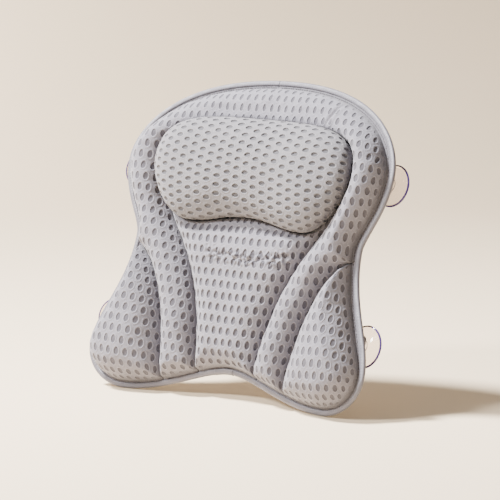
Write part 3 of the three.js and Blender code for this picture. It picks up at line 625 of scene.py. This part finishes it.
def ring_cover(name, uvh, middle, side, back_rings, crown, roll, turned=False):
    """A chamber made of rings round its middle, from a grid of lines that run inwards"""
    uvh = even_columns(uvh, int(usual_width(uvh) / FINE)).transpose(1, 0, 2)  # rings by directions
    depth = uvh[..., 3]
    p, n, a, b = dressed(uvh, crown, roll, True, turned)
    if turned:
        strength = smooth(np.arange(len(uvh)) * FINE, 1, 4)[:, None]
        p = press_holes(p, n, a, b, 1, strength, HEAD_HOLE, HEAD_DEEP)
    else:
        p = press_holes(p, n, a, b, 1, smooth(depth, 0.3, 2.5), HOLE, LOBE_DEEP)
    p[-1] = p[-1].mean(0)
    if side < 0:
        p = p * [-1, 1, 1]
    rings, sides = p.shape[:2]
    pole = (rings - 1) * sides
    j, k = neighbours(sides)
    points, quads = [p[:-1].reshape(-1, 3), p[-1, :1]], [grid_faces(rings - 1, sides, True)]
    tris = [fan(pole - sides + j, pole - sides + k, pole)]
    # the back: rings drawn in flat behind the cover
    foot, level = uvh[0, :, :2], uvh[0, 0, 2] - FLAT_PLY
    start, previous = pole + 1, j
    for share in (1.0, *back_rings):
        ring = lerp(middle, foot, share)
        points.append(on_panel(ring[:, 0] * side, ring[:, 1], np.full(sides, level)))
        quads.append(np.stack([previous, start + j, start + k, previous[k]], 1))
        previous, start = start + j, start + sides
    points.append(placed(np.array([[middle[0] * side, middle[1], level]])))
    tris.append(fan(previous[k], previous, start))
    points = leaned(np.concatenate(points))
    spare = len(points) - pole
    uv = np.concatenate([np.stack([a, b], -1)[:-1].reshape(-1, 2),
                         np.full((spare, 2), [a[-1].mean(), b[-1].mean()])])
    marks = {"hole_width": np.ones(len(points)),
             "depth": np.concatenate([depth[:-1].ravel(), np.full(spare, depth[-1].mean())])}
    material = HEAD_MESH if turned else AIR_MESH
    return make_piece(name, points, np.concatenate(quads), material, np.concatenate(tris), uv, marks)


# materials
def new_material(name, values):
    m = bpy.data.materials.new(name)
    m.use_nodes = True
    shader = m.node_tree.nodes["Principled BSDF"]
    for key, value in values.items():
        shader.inputs[key].default_value = value
    return m, m.node_tree, shader


def linear(rgb):
    shares = [c / 255 for c in rgb]
    return tuple((c / 12.92 if c <= 0.04045 else ((c + 0.055) / 1.055) ** 2.4) for c in shares) + (1,)


def node(tree, kind, **settings):
    n = tree.nodes.new("ShaderNode" + kind)
    for key, value in settings.items():
        if hasattr(n, key):
            setattr(n, key, value)
        else:
            n.inputs[key].default_value = value
    return n


def texture(tree, kind="TexNoise", **settings):
    """A texture read at the places on the object"""
    n = node(tree, kind, **settings)
    tree.links.new(node(tree, "TexCoord").outputs["Object"], n.inputs["Vector"])
    return n.outputs[0]


def fill(tree, sockets, values):
    for socket, value in zip(sockets, values):
        if isinstance(value, (tuple, float, int)):
            socket.default_value = value
        elif value is not None:
            tree.links.new(value, socket)


def calc(tree, operation, a, b=None, c=None, clamp=False):
    n = node(tree, "Math", operation=operation, use_clamp=clamp)
    fill(tree, n.inputs, (a, b, c))
    return n.outputs[0]


def times(tree, a, b):
    return calc(tree, "MULTIPLY", a, b)


def waves(tree, value, size):
    return calc(tree, "SINE", times(tree, value, 2 * math.pi / size))


def ramp(tree, value, low, high, to_low=0.0, to_high=1.0):
    n = node(tree, "MapRange", interpolation_type="SMOOTHSTEP")
    fill(tree, n.inputs, (value, low, high, to_low, to_high))
    return n.outputs[0]


def blended(tree, factor, a, b, kind="MIX"):
    n = node(tree, "Mix", data_type="RGBA", blend_type=kind)
    fill(tree, (n.inputs[0], n.inputs[6], n.inputs[7]), (factor, a, b))
    return n.outputs[2]


def weave(tree):
    """The pattern's own coordinates"""
    split = node(tree, "SeparateXYZ")
    tree.links.new(node(tree, "UVMap", uv_map="weave").outputs[0], split.inputs[0])
    return split.outputs[0], split.outputs[1]


def bumped(tree, shader, height, strength, distance):
    bump = node(tree, "Bump", Strength=strength, Distance=distance)
    tree.links.new(height, bump.inputs["Height"])
    tree.links.new(bump.outputs[0], shader.inputs["Normal"])


def cell_distance(tree, a, b, width, shift, hole):
    def centred(value):
        moved = calc(tree, "ADD", value, shift)
        return calc(tree, "SUBTRACT", moved, calc(tree, "ROUND", moved))
    x = calc(tree, "DIVIDE", times(tree, centred(a), PITCH * 2 / hole[0]), width)
    y = times(tree, centred(b), CELL * 2 / hole[1])
    return calc(tree, "SQRT", calc(tree, "ADD", times(tree, x, x), times(tree, y, y)))


RIB, LOOP = 1.15, 1.5  # wavelengths of the knit, in millimetres


def air_mesh(name, cloth, hole_floor_and_shade, painted_seam_shade, edge, hole):
    m, tree, shader = new_material(name, {"Roughness": 0.88, "Specular IOR Level": 0.25, "Sheen Weight": 0.2,
                                          "Sheen Roughness": 0.5})
    a, b = weave(tree)
    width, depth = (node(tree, "Attribute", attribute_name=key).outputs["Fac"]
                    for key in ("hole_width", "depth"))
    e = calc(tree, "MINIMUM", *(cell_distance(tree, a, b, width, shift, hole) for shift in (0, 0.5)))
    grain = texture(tree, Scale=620.0, Detail=4.0, Roughness=0.7)
    felt = texture(tree, Scale=260.0, Detail=5.0, Roughness=0.72, Distortion=0.6)
    mottle = texture(tree, Scale=34.0, Detail=4.0, Roughness=0.65)
    grain_off, felt_off, mottle_off = (calc(tree, "SUBTRACT", value, 0.5) for value in (grain, felt, mottle))
    e = calc(tree, "ADD", e, times(tree, felt_off, 0.3))
    hollow = ramp(tree, e, 0.84, 1.04, 1.0, 0.0)
    # fine knitted ribs, two directions of loops
    ribs, loops = waves(tree, a, RIB / PITCH), waves(tree, b, LOOP / CELL)
    knit = times(tree, ribs, loops)
    shade = 1.0
    for part, share in ((mottle_off, 0.2), (knit, 0.03), (felt_off, 0.42), (grain_off, 0.24)):
        shade = calc(tree, "MULTIPLY_ADD", part, share, shade)
    # painted shade: darker colour where the depth mark is low, at the seams, along the tape's flat margin and
    # on the head pillow's turned-in side
    seam_shade_share = ramp(tree, depth, 0.0, 2.4, 1.0, 0.0)
    # painted highlight: a lighter ring of colour round each hole's rim
    rim_highlight_share = times(tree, ramp(tree, e, 0.96, 1.05), ramp(tree, e, 1.08, 1.2, 1.0, 0.0))
    # the hole floor's colour is partly the mesh's own inner layer and partly painted shade in the hollows
    colour = blended(tree, hollow, linear(cloth), linear(hole_floor_and_shade))
    colour = blended(tree, times(tree, rim_highlight_share, 0.45), colour, linear(edge))
    colour = blended(tree, seam_shade_share, colour, linear(painted_seam_shade))
    value = node(tree, "CombineXYZ")
    fill(tree, value.inputs, (shade,) * 3)
    colour = blended(tree, 1.0, colour, value.outputs[0], "MULTIPLY")
    tree.links.new(colour, shader.inputs["Base Color"])
    rim = ramp(tree, e, 1.06, 1.26, 1.0, 0.0)
    height = calc(tree, "MULTIPLY_ADD", hollow, -1.0, times(tree, rim, 0.3))
    for part, share in ((knit, 0.05), (grain, 0.2), (felt, 1.15)):
        height = calc(tree, "MULTIPLY_ADD", part, share, height)
    bumped(tree, shader, height, 0.7, 0.0009)
    return m


def satin(name, colour, dark):
    m, tree, shader = new_material(name, {"Roughness": 0.42, "Sheen Weight": 0.2})
    ribs = waves(tree, weave(tree)[0], 0.9)
    mottle = texture(tree, Scale=120.0, Detail=3.0)
    share = calc(tree, "MULTIPLY_ADD", ribs, 0.18, mottle, clamp=True)
    tree.links.new(blended(tree, share, linear(dark), linear(colour)), shader.inputs["Base Color"])
    bumped(tree, shader, calc(tree, "MULTIPLY_ADD", mottle, 1.2, ribs), 0.25, 0.0003)
    return m


def fine_cloth(name, colour, dark, scale):
    """Plain woven or knitted cloth, from places on the object"""
    m, tree, shader = new_material(name, {"Roughness": 0.9, "Sheen Weight": 0.2})
    grain = texture(tree, Scale=700.0, Detail=3.0)
    dots = texture(tree, "TexVoronoi", Scale=scale, Randomness=0.25)
    holes = ramp(tree, dots, 0.12, 0.34, 1.0, 0.0)
    share = calc(tree, "MULTIPLY_ADD", grain, 0.5, holes, clamp=True)
    tree.links.new(blended(tree, share, linear(colour), linear(dark)), shader.inputs["Base Color"])
    bumped(tree, shader, times(tree, share, -1.0), 0.4, 0.0005)
    return m


def clear_vinyl(name, colour, clear):
    return new_material(name, {"Base Color": linear(colour), "Roughness": 0.08, "IOR": 1.45,
                               "Transmission Weight": clear})[0]


# colours: cloth; floor of the holes, partly the inner layer and partly painted shade; painted shade at the
# seams; painted highlight round the edge of the holes
AIR_MESH = air_mesh("air_mesh", (120, 118, 127), (82, 80, 88), (102, 100, 107), (158, 156, 165), HOLE)
HEAD_MESH = air_mesh("head_air_mesh", (115, 113, 118), (84, 83, 88), (96, 94, 99), (154, 152, 158), HEAD_HOLE)
SATIN = satin("satin_tape", (106, 104, 113), (90, 88, 97))
BACK_MESH = fine_cloth("back_mesh", (176, 172, 175), (120, 116, 120), 420.0)
WEBBING = fine_cloth("webbing", (168, 165, 170), (136, 133, 138), 900.0)
THREAD = fine_cloth("sewing_thread", (150, 146, 152), (120, 116, 122), 2500.0)
# the rim stitches are real; their dark colour paints the shade of their stitch holes
THREAD_AND_HOLE_SHADE = fine_cloth("thread_and_hole_shade", (72, 67, 72), (52, 48, 52), 2500.0)
VINYL = clear_vinyl("clear_vinyl", (232, 223, 216), 1.0)
VINYL_EDGE = clear_vinyl("clear_vinyl_edge", (58, 44, 92), 0.05)


# covers
def outer_seam(aside):
    """A line beside the outer seam, as far as the binding leaves it open"""
    line = beside(OUTER_SEAM, aside)
    return line[line_distance(line, FEW_EDGE) >= TAPE_INNER]


def nearest(line, place):
    return np.argmin(np.linalg.norm(line - place, axis=1))


def top_narrowing(v):
    return 1 - 0.27 * smooth(v, *NARROW_TOP)


def arch_bend(grid):
    """Moves the lowest rows onto the arch"""
    out = grid.copy()
    foot = grid[0, :, 1]
    share = 1 - smooth(grid[..., 1] - foot, 0, 55)
    out[..., 1] += (arch_height(grid[..., 0]) - foot) * share
    return out


def centre_cover():
    right = beside(respaced(INNER_SIDE, ROW_STEP), SEAM_KEEP)
    left = right * [-1, 1]
    arch_u = np.linspace(-38, 38, 30)
    arch = np.stack([arch_u, arch_height(arch_u)], 1)
    loop = joined(arch, right[right[:, 1] > ARCH_RISE][::3], left[right[:, 1] > ARCH_RISE][::-3])
    return row_cover("centre_cover", left, right, loop, CENTRE_SHAPE, 21, arch_bend, np.ones_like)


def yoke_cover():
    def run(low, high):
        """As many places on the strip and on the hoop for both of its seams"""
        low, high = (at_length(line, np.linspace(0, lengths(line)[-1], count))
                     for line, count in zip((low, high), YOKE_ROWS))
        return np.concatenate([low, high[1:]])
    rim, seam = tape_line(waist_at - 24, EDGE_LENGTH), outer_seam(SEAM_KEEP)
    rim = rim[nearest(rim, seam[-1]):]
    inner = beside(run(INNER_SIDE[INNER_SIDE[:, 1] <= HEAD_LOW],
                       joined(INNER_SIDE[INNER_SIDE[:, 1] >= HEAD_LOW], INNER_TOP)), -SEAM_KEEP)
    starts, ends = (np.concatenate([line, mirrored(line)[1:]]) for line in (inner, run(seam, rim)))

    def bent(grid):
        out = grid.copy()
        for rows in (slice(0, len(inner)), slice(len(grid) - 1, len(inner) - 1, -1)):
            part = grid[rows]
            shift = arch_height(part[0, :, 0]) - part[0, :, 1]
            share = 1 - smooth(np.arange(len(part)) * ROW_STEP, 0, 50)
            out[rows, :, 1] += shift * share[:, None]
        return out
    grid = bent(between(starts, ends, np.linspace(0, 1, 20)))
    loop = joined(grid[0], grid[1:-1:3, -1], grid[-1, ::-1], grid[-2:0:-3, 0])
    return row_cover("yoke_cover", starts, ends, loop, YOKE_SHAPE, 31, bent, top_narrowing, True)


def lobe_cover(hand, side):
    rim, seam = tape_line(outer_foot - 10, waist_at + 10), outer_seam(-SEAM_KEEP)
    first, last = nearest(rim, seam[0]), nearest(rim, seam[-1])
    border = respaced(joined(rim[first:last + 1], seam[::-1], rim[first:first + 1]), FINE)[:-1]
    grid = drawn_in(border, LOBE_MIDDLE, 70)
    depth = open_depth(grid, loop_depth(grid, border[::3]))
    depth[:, 0] = 0
    crown, roll, power = LOBE_SHAPE
    h = chamber_heights(grid, depth, crown, roll, 41 if side > 0 else 47, power)
    h[:, 0] = BASE + FLAT_PLY
    uvh = stacked(grid, h, depth)
    return ring_cover(f"{hand}_lobe_cover", uvh, LOBE_MIDDLE, side, (0.66, 0.33), crown, roll)


def head_cover():
    """The head pillow: its side turns in below the widest line, down to its foot, and domes over above it"""
    half = respaced(HEAD_EDGE, FINE)
    border = askew(joined(half, mirrored(half))[:-1])
    middle = askew(pt(0, HEAD_MIDDLE))
    parts, none = [], np.zeros(len(border))
    for low in np.linspace(0, math.pi / 2, 12)[:-1]:
        loop = inset(border, HEAD_TUCK * (1 - np.sin(low)) + 0.2)
        parts.append(stacked(loop, none + (HEAD_FOOT + HEAD_WIDEST * (1 - np.cos(low))), none))
    widest = inset(border, 0.2)
    grid = drawn_in(widest, middle, 90)
    depth = loop_depth(grid, widest[::4])
    depth[:, 0] = 0
    crown = HEAD_CROWN - HEAD_WIDEST
    h = HEAD_FOOT + HEAD_WIDEST + crown * round_rise(depth / HEAD_ROLL)
    h = h + ripple(grid[..., 0], grid[..., 1], 70, 10, 51) * 0.8 * smooth(depth, 4, 24)
    uvh = np.concatenate([np.stack(parts, 1), stacked(grid, h, depth)], 1)
    return ring_cover("head_cover", uvh, middle, 1, (0.6, 0.3), crown, HEAD_ROLL, True)


def ride(piece, slot, *nodes, body=BODY):
    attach(piece, body)
    if nodes:
        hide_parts(*nodes)
    return piece


ride(centre_cover(), "air_mesh", "centre_panel", "centre_wadding")
ride(yoke_cover(), "air_mesh", "yoke_panel", "yoke_wadding")
for hand, side in HANDS:
    cover = ride(lobe_cover(hand, side), "air_mesh", f"{hand}_lobe_panel", f"{hand}_lobe_wadding")
cover = ride(head_cover(), "head_mesh", "head_pillow_cover", "head_pillow_wadding", "head_pillow_base")


# binding
def swept(name, stations, section, *nodes):
    """A closed section of insets and heights swept along the rim. Stations are signed lengths."""
    p, inwards = rim_frames(np.abs(stations))
    u = (p[:, None, 0] + inwards[:, None, 0] * section[:, 0]) * np.where(stations < 0, -1, 1)[:, None]
    v = p[:, None, 1] + inwards[:, None, 1] * section[:, 0]
    leg = smooth(np.abs(section[:, 0]), 1.2, 4.5) * np.sign(section[:, 1])
    pucker = 0.12 * np.sin(2 * math.pi * stations / 3.3) + 0.16 * ripple(stations, 0 * stations, 19, 10, 81)
    points = on_panel(u, v, section[:, 1] + leg * pucker[:, None])
    count, last = len(section), (len(stations) - 1) * len(section)
    girth = lengths(np.concatenate([section, section[:1]]))[:-1]
    uv = np.stack(np.broadcast_arrays(stations[:, None], girth[None, :]), -1).reshape(-1, 2)
    ends = [(first + k, first + k + 1, first + count - k - 1, first + count - k)[::step]
            for first, step in ((0, -1), (last, 1)) for k in range(1, count // 2)]
    quads = np.concatenate([grid_faces(len(stations), count, True), np.array(ends)])
    tris = [[count - 1, 1, 0], [last, last + 1, last + count - 1]]
    piece = make_piece(name, leaned(points).reshape(-1, 3), quads, SATIN, tris, uv)
    return ride(piece, "binding_tape", *nodes)


def tape_section(outer, half, reach, wall):
    """A fold seen end on: the rounded fold, two flat legs and the slot that grips the cloth"""
    turn = np.linspace(-math.pi / 2, math.pi / 2, 13)
    fold = np.stack([outer + half * 0.95 * (1 - np.cos(turn)), half * np.sin(turn)], 1)
    front = np.array([[outer + half * 0.95 + 1.2, half + 0.25], [reach - 1.6, half + 0.3],
                      [reach - 0.4, half + 0.05], [reach, half - 0.5], [reach, half - wall]])
    return np.concatenate([fold, front, (front * [1, -1])[::-1]])


TAPE, JOIN = tape_section(0.0, 2.7, 6.2, 0.95), tape_section(-0.5, 3.4, 6.1, 0.6)
TAPE_STEP = 0.8
for hand, side in HANDS:
    stations = np.linspace(0.3, EDGE_LENGTH - 0.3, int(EDGE_LENGTH / TAPE_STEP)) * side
    swept(f"{hand}_tape", stations, TAPE, f"{hand}_binding")
swept("tape_join", np.linspace(-18, 7, 18), JOIN, "binding_join")


# back
def back_cover():
    half = respaced(EDGE, 2.5)
    border = joined(half, mirrored(half))[:-1]
    middle = pt(0, WAIST_HEIGHT)
    foot = inset(border, 4.2)
    grid = lerp(foot[:, None], middle, np.linspace(0, 1, 70)[None, :, None])
    grid = grid.transpose(1, 0, 2)
    u, v = grid[..., 0], grid[..., 1]
    folded = np.stack([np.abs(u), v], -1)
    seams = [respaced(line, 6) for line in (INNER_SIDE, INNER_TOP, OUTER_SEAM)]
    near = np.min([line_distance(folded, line) for line in seams], axis=0)
    rim = loop_depth(grid, border[::2])
    thick = lerp(FLAT_PLY, PLY, smooth(rim, 7.6, 12)) * lerp(0.55, 1, smooth(near, 0.5, 7))
    thick = thick + 0.25 * ripple(u, v, 40, 12, 61) * smooth(rim, 8, 20)
    rear = on_panel(u, v, -BASE - thick)
    rear[-1] = rear[-1].mean(0)
    rings, sides = rear.shape[:2]
    front = on_panel(u[::8], v[::8], np.full(u[::8].shape, -BASE))
    tip = placed(np.array([[0.0, WAIST_HEIGHT, -BASE]]))
    points = np.concatenate([rear[:-1].reshape(-1, 3), rear[-1, :1], front.reshape(-1, 3), tip])
    pole = (rings - 1) * sides
    start, end = pole + 1, pole + 1 + (len(front) - 1) * sides
    j, k = neighbours(sides)
    quads = [grid_faces(rings - 1, sides, True), start + grid_faces(len(front), sides, True)[:, ::-1],
             np.stack([j, start + j, start + k, k], 1)]
    tris = [fan(pole - sides + j, pole - sides + k, pole), fan(end + k, end + j, end + sides)]
    piece = make_piece("back_cover", leaned(points), np.concatenate(quads), BACK_MESH, np.concatenate(tris))
    return ride(piece, "back_mesh", "back_panel")


back_cover()


# stitches
STITCH_PITCH = 3.3


def stitch_shape(length, thick):
    """One low stitch along X, rounded, with few faces"""
    rows = np.array([-0.5, -0.36, 0, 0.36, 0.5]) * length
    sizes = np.array([0.25, 0.85, 1.0, 0.85, 0.25]) * thick / 2
    angle = np.arange(6) * math.pi / 3
    ring = np.stack([np.zeros(6), np.cos(angle), np.sin(angle)], 1)
    points = np.concatenate([ring * [1, r, r] + [x, 0, 0] for x, r in zip(rows, sizes)])
    caps = np.array([[3, 2, 1, 0], [5, 4, 3, 0], [24, 25, 26, 27], [24, 27, 28, 29]])
    return points, np.concatenate([grid_faces(5, 6, True), caps])


def rim_stitches(name, side, inwards, height, length, thick, material, jitter=0.0):
    """Stitches in a row beside the rim, at this distance inwards and this height"""
    place, ways = rim_frames(np.arange(1, EDGE_LENGTH - 1, 1.0))
    place = place + ways * inwards
    p = on_panel(place[:, 0] * side, place[:, 1], np.full(len(place), height))
    centres = np.arange(STITCH_PITCH / 2, lengths(p)[-1], STITCH_PITCH)
    if jitter:
        centres = centres + rng.uniform(-jitter, jitter, len(centres))
    c = at_length(p, centres)
    t = unit(at_length(p, centres + 0.8) - at_length(p, centres - 0.8))
    across = unit(np.cross([0, -1.0, 0], t))
    frame_of = np.stack([t, across, np.cross(t, across)], 1)
    shape, faces = stitch_shape(length, thick)
    points = c[:, None] + (shape[None, :, :, None] * frame_of[:, None]).sum(2)
    quads = (np.arange(len(c))[:, None, None] * len(shape) + faces[None]).reshape(-1, 4)
    return ride(make_piece(name, leaned(points.reshape(-1, 3)), quads, material), "webbing")


# the front rim stitches are dark as painted shade of their stitch holes
for hand, side in HANDS:
    rim_stitches(f"{hand}_rim_stitches", side, 8.7, 1.9, 2.6, 0.8, THREAD_AND_HOLE_SHADE, 0.5)
    rim_stitches(f"{hand}_rear_stitches", side, 5.2, -3.05, 2.5, 0.55, THREAD)


# cups: the profile runs from the hollow round the lip, down the bell and round the knob
HOLLOW = [(0.05, 3.9), (0.22, 3.8), (0.5, 3.2), (0.78, 1.75), (0.93, 0.6)]
BELL = [(1.0, 0.5), (0.988, 0.9), (0.96, 1.19), (0.925, 1.54), (0.86, 2.2), (0.66, 4.3), (0.45, 5.7),
        (0.365, 6.1), (0.33, 6.26), (0.3, 6.4), (0.16, 6.5)]
KNOB = [(2.9, BELL_FRONT - 0.2), (2.8, KNOB_BACK), (4.9, KNOB_BACK), (5.5, KNOB_BACK - 0.5), (5.5, 0.9),
        (5.2, 0.45), (4.6, GAP), (1.0, GAP)]
LIP, RIM_BAND = CUP_RADIUS - 2.6, CUP_RADIUS - 1.9
CUP = ([(LIP * r, CUP_RIM - h) for r, h in HOLLOW]
       + [(LIP, CUP_RIM), (RIM_BAND - 0.2, CUP_RIM), (CUP_RADIUS, CUP_RIM)]
       + [(CUP_RADIUS * r, CUP_RIM - h) for r, h in BELL] + KNOB)
HUB_RING, HUB_FRONT = (8.0, 8.7), CUP_RIM - 6  # the dark ring that shows at the hub


def mode(name):
    bpy.ops.object.mode_set(mode=name)


def vinyl_cup(name, place):
    """A round piece turned about Z from a disc: each step of the profile extrudes it on"""
    radius, height = CUP[0]
    bpy.ops.mesh.primitive_circle_add(vertices=96, radius=radius * MM, fill_type="NGON",
                                      location=(0, 0, height * MM))
    piece = bpy.context.object
    bpy.ops.object.transform_apply(location=True)
    mode("EDIT")
    bpy.ops.mesh.select_all(action="SELECT")
    for r, z in CUP[1:]:
        bpy.ops.mesh.extrude_region_move(TRANSFORM_OT_translate={"value": (0, 0, (z - height) * MM)})
        bpy.ops.transform.resize(value=(r / radius, r / radius, 1))
        radius, height = r, z
    bpy.ops.mesh.select_all(action="SELECT")
    bpy.ops.mesh.normals_make_consistent(inside=False)
    mode("OBJECT")
    bpy.ops.object.shade_smooth_by_angle(angle=math.radians(38))
    piece.name = piece.data.name = f"{name}_vinyl_cup"
    piece.data.materials.append(VINYL)
    piece.data.materials.append(VINYL_EDGE)
    for face in piece.data.polygons:
        reach, back = math.hypot(face.center.x, face.center.y) / MM, face.center.z / MM
        hub = HUB_RING[0] < reach < HUB_RING[1] and back < HUB_FRONT
        face.material_index = int(reach > RIM_BAND or hub)
    piece.data.transform(place)
    return ride(piece, "clear_vinyl", f"{name}_cup", body=f"{name}_suction")


def cup_place(side, height):
    """From the cup's own axis, Z towards the wall, to the world"""
    seat = leaned(placed(np.array([CUP_SPACING / 2 * side, height, -REAR])))
    place = Matrix.Translation(Vector(seat))
    for angle, axis in ((-LEAN, "X"), (-CUP_TILT * side, "Z"), (-math.pi / 2, "X")):
        place = place @ Matrix.Rotation(angle, 4, axis)
    return place


HOLE_RADIUS, HOLE_STRAIGHT = 3.1, 2.4  # of the buttonhole
STRAP_END, STRAP_REACH, STRAP_HALF, STRAP_CORNER = 8.4, 21, 12, 26


def strap(name, side, place):
    """A strap that bridges the cup's knob, with a buttonhole for its neck, and ends behind the tape"""
    angle = np.linspace(0, 2 * math.pi, 96, endpoint=False)
    c, s = np.cos(angle), np.sin(angle)
    hole = np.stack([HOLE_RADIUS * c, HOLE_RADIUS * s + HOLE_STRAIGHT * np.sign(s)], 1)
    outer = np.stack([np.where(c > 0, STRAP_END * c, np.clip(STRAP_CORNER * c, -STRAP_REACH, 0)),
                      np.where(c > 0, STRAP_HALF * s, np.clip(STRAP_CORNER * s, -STRAP_HALF, STRAP_HALF))], 1)
    flat = lerp(hole, outer, np.linspace(0, 1, 24)[:, None, None])
    lift = lerp(GAP, KNOB_BACK + GAP, 1 - smooth(np.abs(flat[..., 0]), 5.6, 9.6))
    rows, count = flat.shape[:2]
    layers = [np.concatenate([flat, z[..., None]], -1).reshape(-1, 3) for z in (lift, lift + STRAP_THICKNESS)]
    j, k = neighbours(count)
    top, last = rows * count, (rows - 1) * count
    faces = grid_faces(rows, count, True)
    quads = [faces, top + faces[:, ::-1], np.stack([j, top + j, top + k, k], 1),
             np.stack([last + j, last + k, top + last + k, top + last + j], 1)]
    points = np.concatenate(layers) * MM * [side, 1, 1]
    piece = make_piece(f"{name}_strap", points, np.concatenate(quads), WEBBING)
    piece.data.transform(place)
    return ride(piece, "webbing", f"{name}_tab")


for level, height in (("upper", CUP_UPPER), ("lower", CUP_LOWER)):
    for hand, side in HANDS:
        name, place = f"{level}_{hand}", cup_place(side, height)
        vinyl_cup(name, place)
        strap(name, side, place)


# camera, as fitted to the photo: distance and offsets in millimetres, lens in pixels
AZIMUTH, ELEVATION = math.radians(37), math.radians(7.01)
FIT_DISTANCE, FIT_ASIDE, FIT_UP, FIT_LENS = 2678.1 / 1.06, 8.84, -2.0, 2222.4
FIT_ORIGIN = Vector((0, -17.57, 9.35))
SENSOR, PICTURE = 36, 500
right = Vector((math.cos(AZIMUTH), math.sin(AZIMUTH), 0))
away = Vector((-math.sin(AZIMUTH), math.cos(AZIMUTH), 0))
look = away * math.cos(ELEVATION) - Vector((0, 0, math.sin(ELEVATION)))
up = right.cross(look)
camera_data = bpy.data.cameras.new("camera")
camera_data.lens, camera_data.sensor_width, camera_data.clip_end = FIT_LENS * SENSOR / PICTURE, SENSOR, 50
camera = linked("camera", camera_data)
camera.matrix_world = Matrix((right, up, -look)).transposed().to_4x4()
camera.location = (FIT_ORIGIN + right * FIT_ASIDE - look * FIT_DISTANCE + up * FIT_UP) * MM
bpy.context.scene.camera = camera


# floor, backdrop and light
SWEEP_SIZE, SWEEP_RISE, SWEEP_FAR, SWEEP_RADIUS = 9, 5, 3.7, 1.7
FLOOR_GAP = 0.0003


def select_edges(sheet, test):
    """Selects the sheet's edges of which both ends pass"""
    bpy.ops.mesh.select_mode(type="EDGE")
    bpy.ops.mesh.select_all(action="DESELECT")
    mode("OBJECT")
    for edge in sheet.data.edges:
        edge.select = all(test(sheet.data.vertices[i].co) for i in edge.vertices)
    mode("EDIT")


def sweep(name, floor_z):
    """One pale sheet that lies in front and under the pillow, and curves up behind it"""
    bpy.ops.mesh.primitive_plane_add(size=SWEEP_SIZE, location=(0, SWEEP_FAR - SWEEP_SIZE / 2, 0))
    sheet = bpy.context.object
    bpy.ops.object.transform_apply(location=True)
    mode("EDIT")
    select_edges(sheet, lambda p: p.y > SWEEP_FAR - 0.1)
    bpy.ops.mesh.extrude_region_move(TRANSFORM_OT_translate={"value": (0, 0, SWEEP_RISE)})
    select_edges(sheet, lambda p: p.y > SWEEP_FAR - 0.1 and p.z < 0.1)
    bpy.ops.mesh.bevel(offset=SWEEP_RADIUS, segments=40, affect="EDGES")
    mode("OBJECT")
    bpy.ops.object.shade_smooth()
    sheet.data.transform(Matrix((right, away, Vector((0, 0, 1)))).transposed().to_4x4())
    sheet.data.transform(Matrix.Translation((0, 0, floor_z)))
    sheet.name = name
    paper = new_material("paper", {"Base Color": linear((229, 210, 182)), "Roughness": 0.95})[0]
    sheet.data.materials.append(paper)


sweep("backdrop", CAD_BOX[0][2] - FLOOR_GAP)


def area_light(name, place, target, size, power, colour, spread=180):
    """A round lamp. Its place and target are metres to the right, away from the camera and up."""
    place, target = (right * x + away * y + Vector((0, 0, z)) for x, y, z in (place, target))
    data = bpy.data.lights.new(name, "AREA")
    data.shape, data.size, data.energy, data.color = "DISK", size, power, colour
    data.spread = math.radians(spread)
    lamp = linked(name, data)
    lamp.location = place
    lamp.rotation_euler = (target - place).to_track_quat("-Z", "Y").to_euler()


area_light("key", (-1.7, 0.2, 2.5), (0, 0, 0), 0.55, 186, (1.0, 0.985, 0.975), 110)
area_light("low_key", (-1.9, -0.85, 1.5), (0, 0, 0), 0.5, 38, (1.0, 0.98, 0.96), 110)
area_light("backdrop_light", (-2.0, 2.1, 1.5), (-1.9, 3.6, 0), 0.8, 190, (1.0, 0.965, 0.92))
world = bpy.data.worlds.new("room")
bpy.context.scene.world = world
world.use_nodes = True
for key, value in (("Color", (1.0, 0.985, 0.965, 1)), ("Strength", 0.42)):
    world.node_tree.nodes["Background"].inputs[key].default_value = value
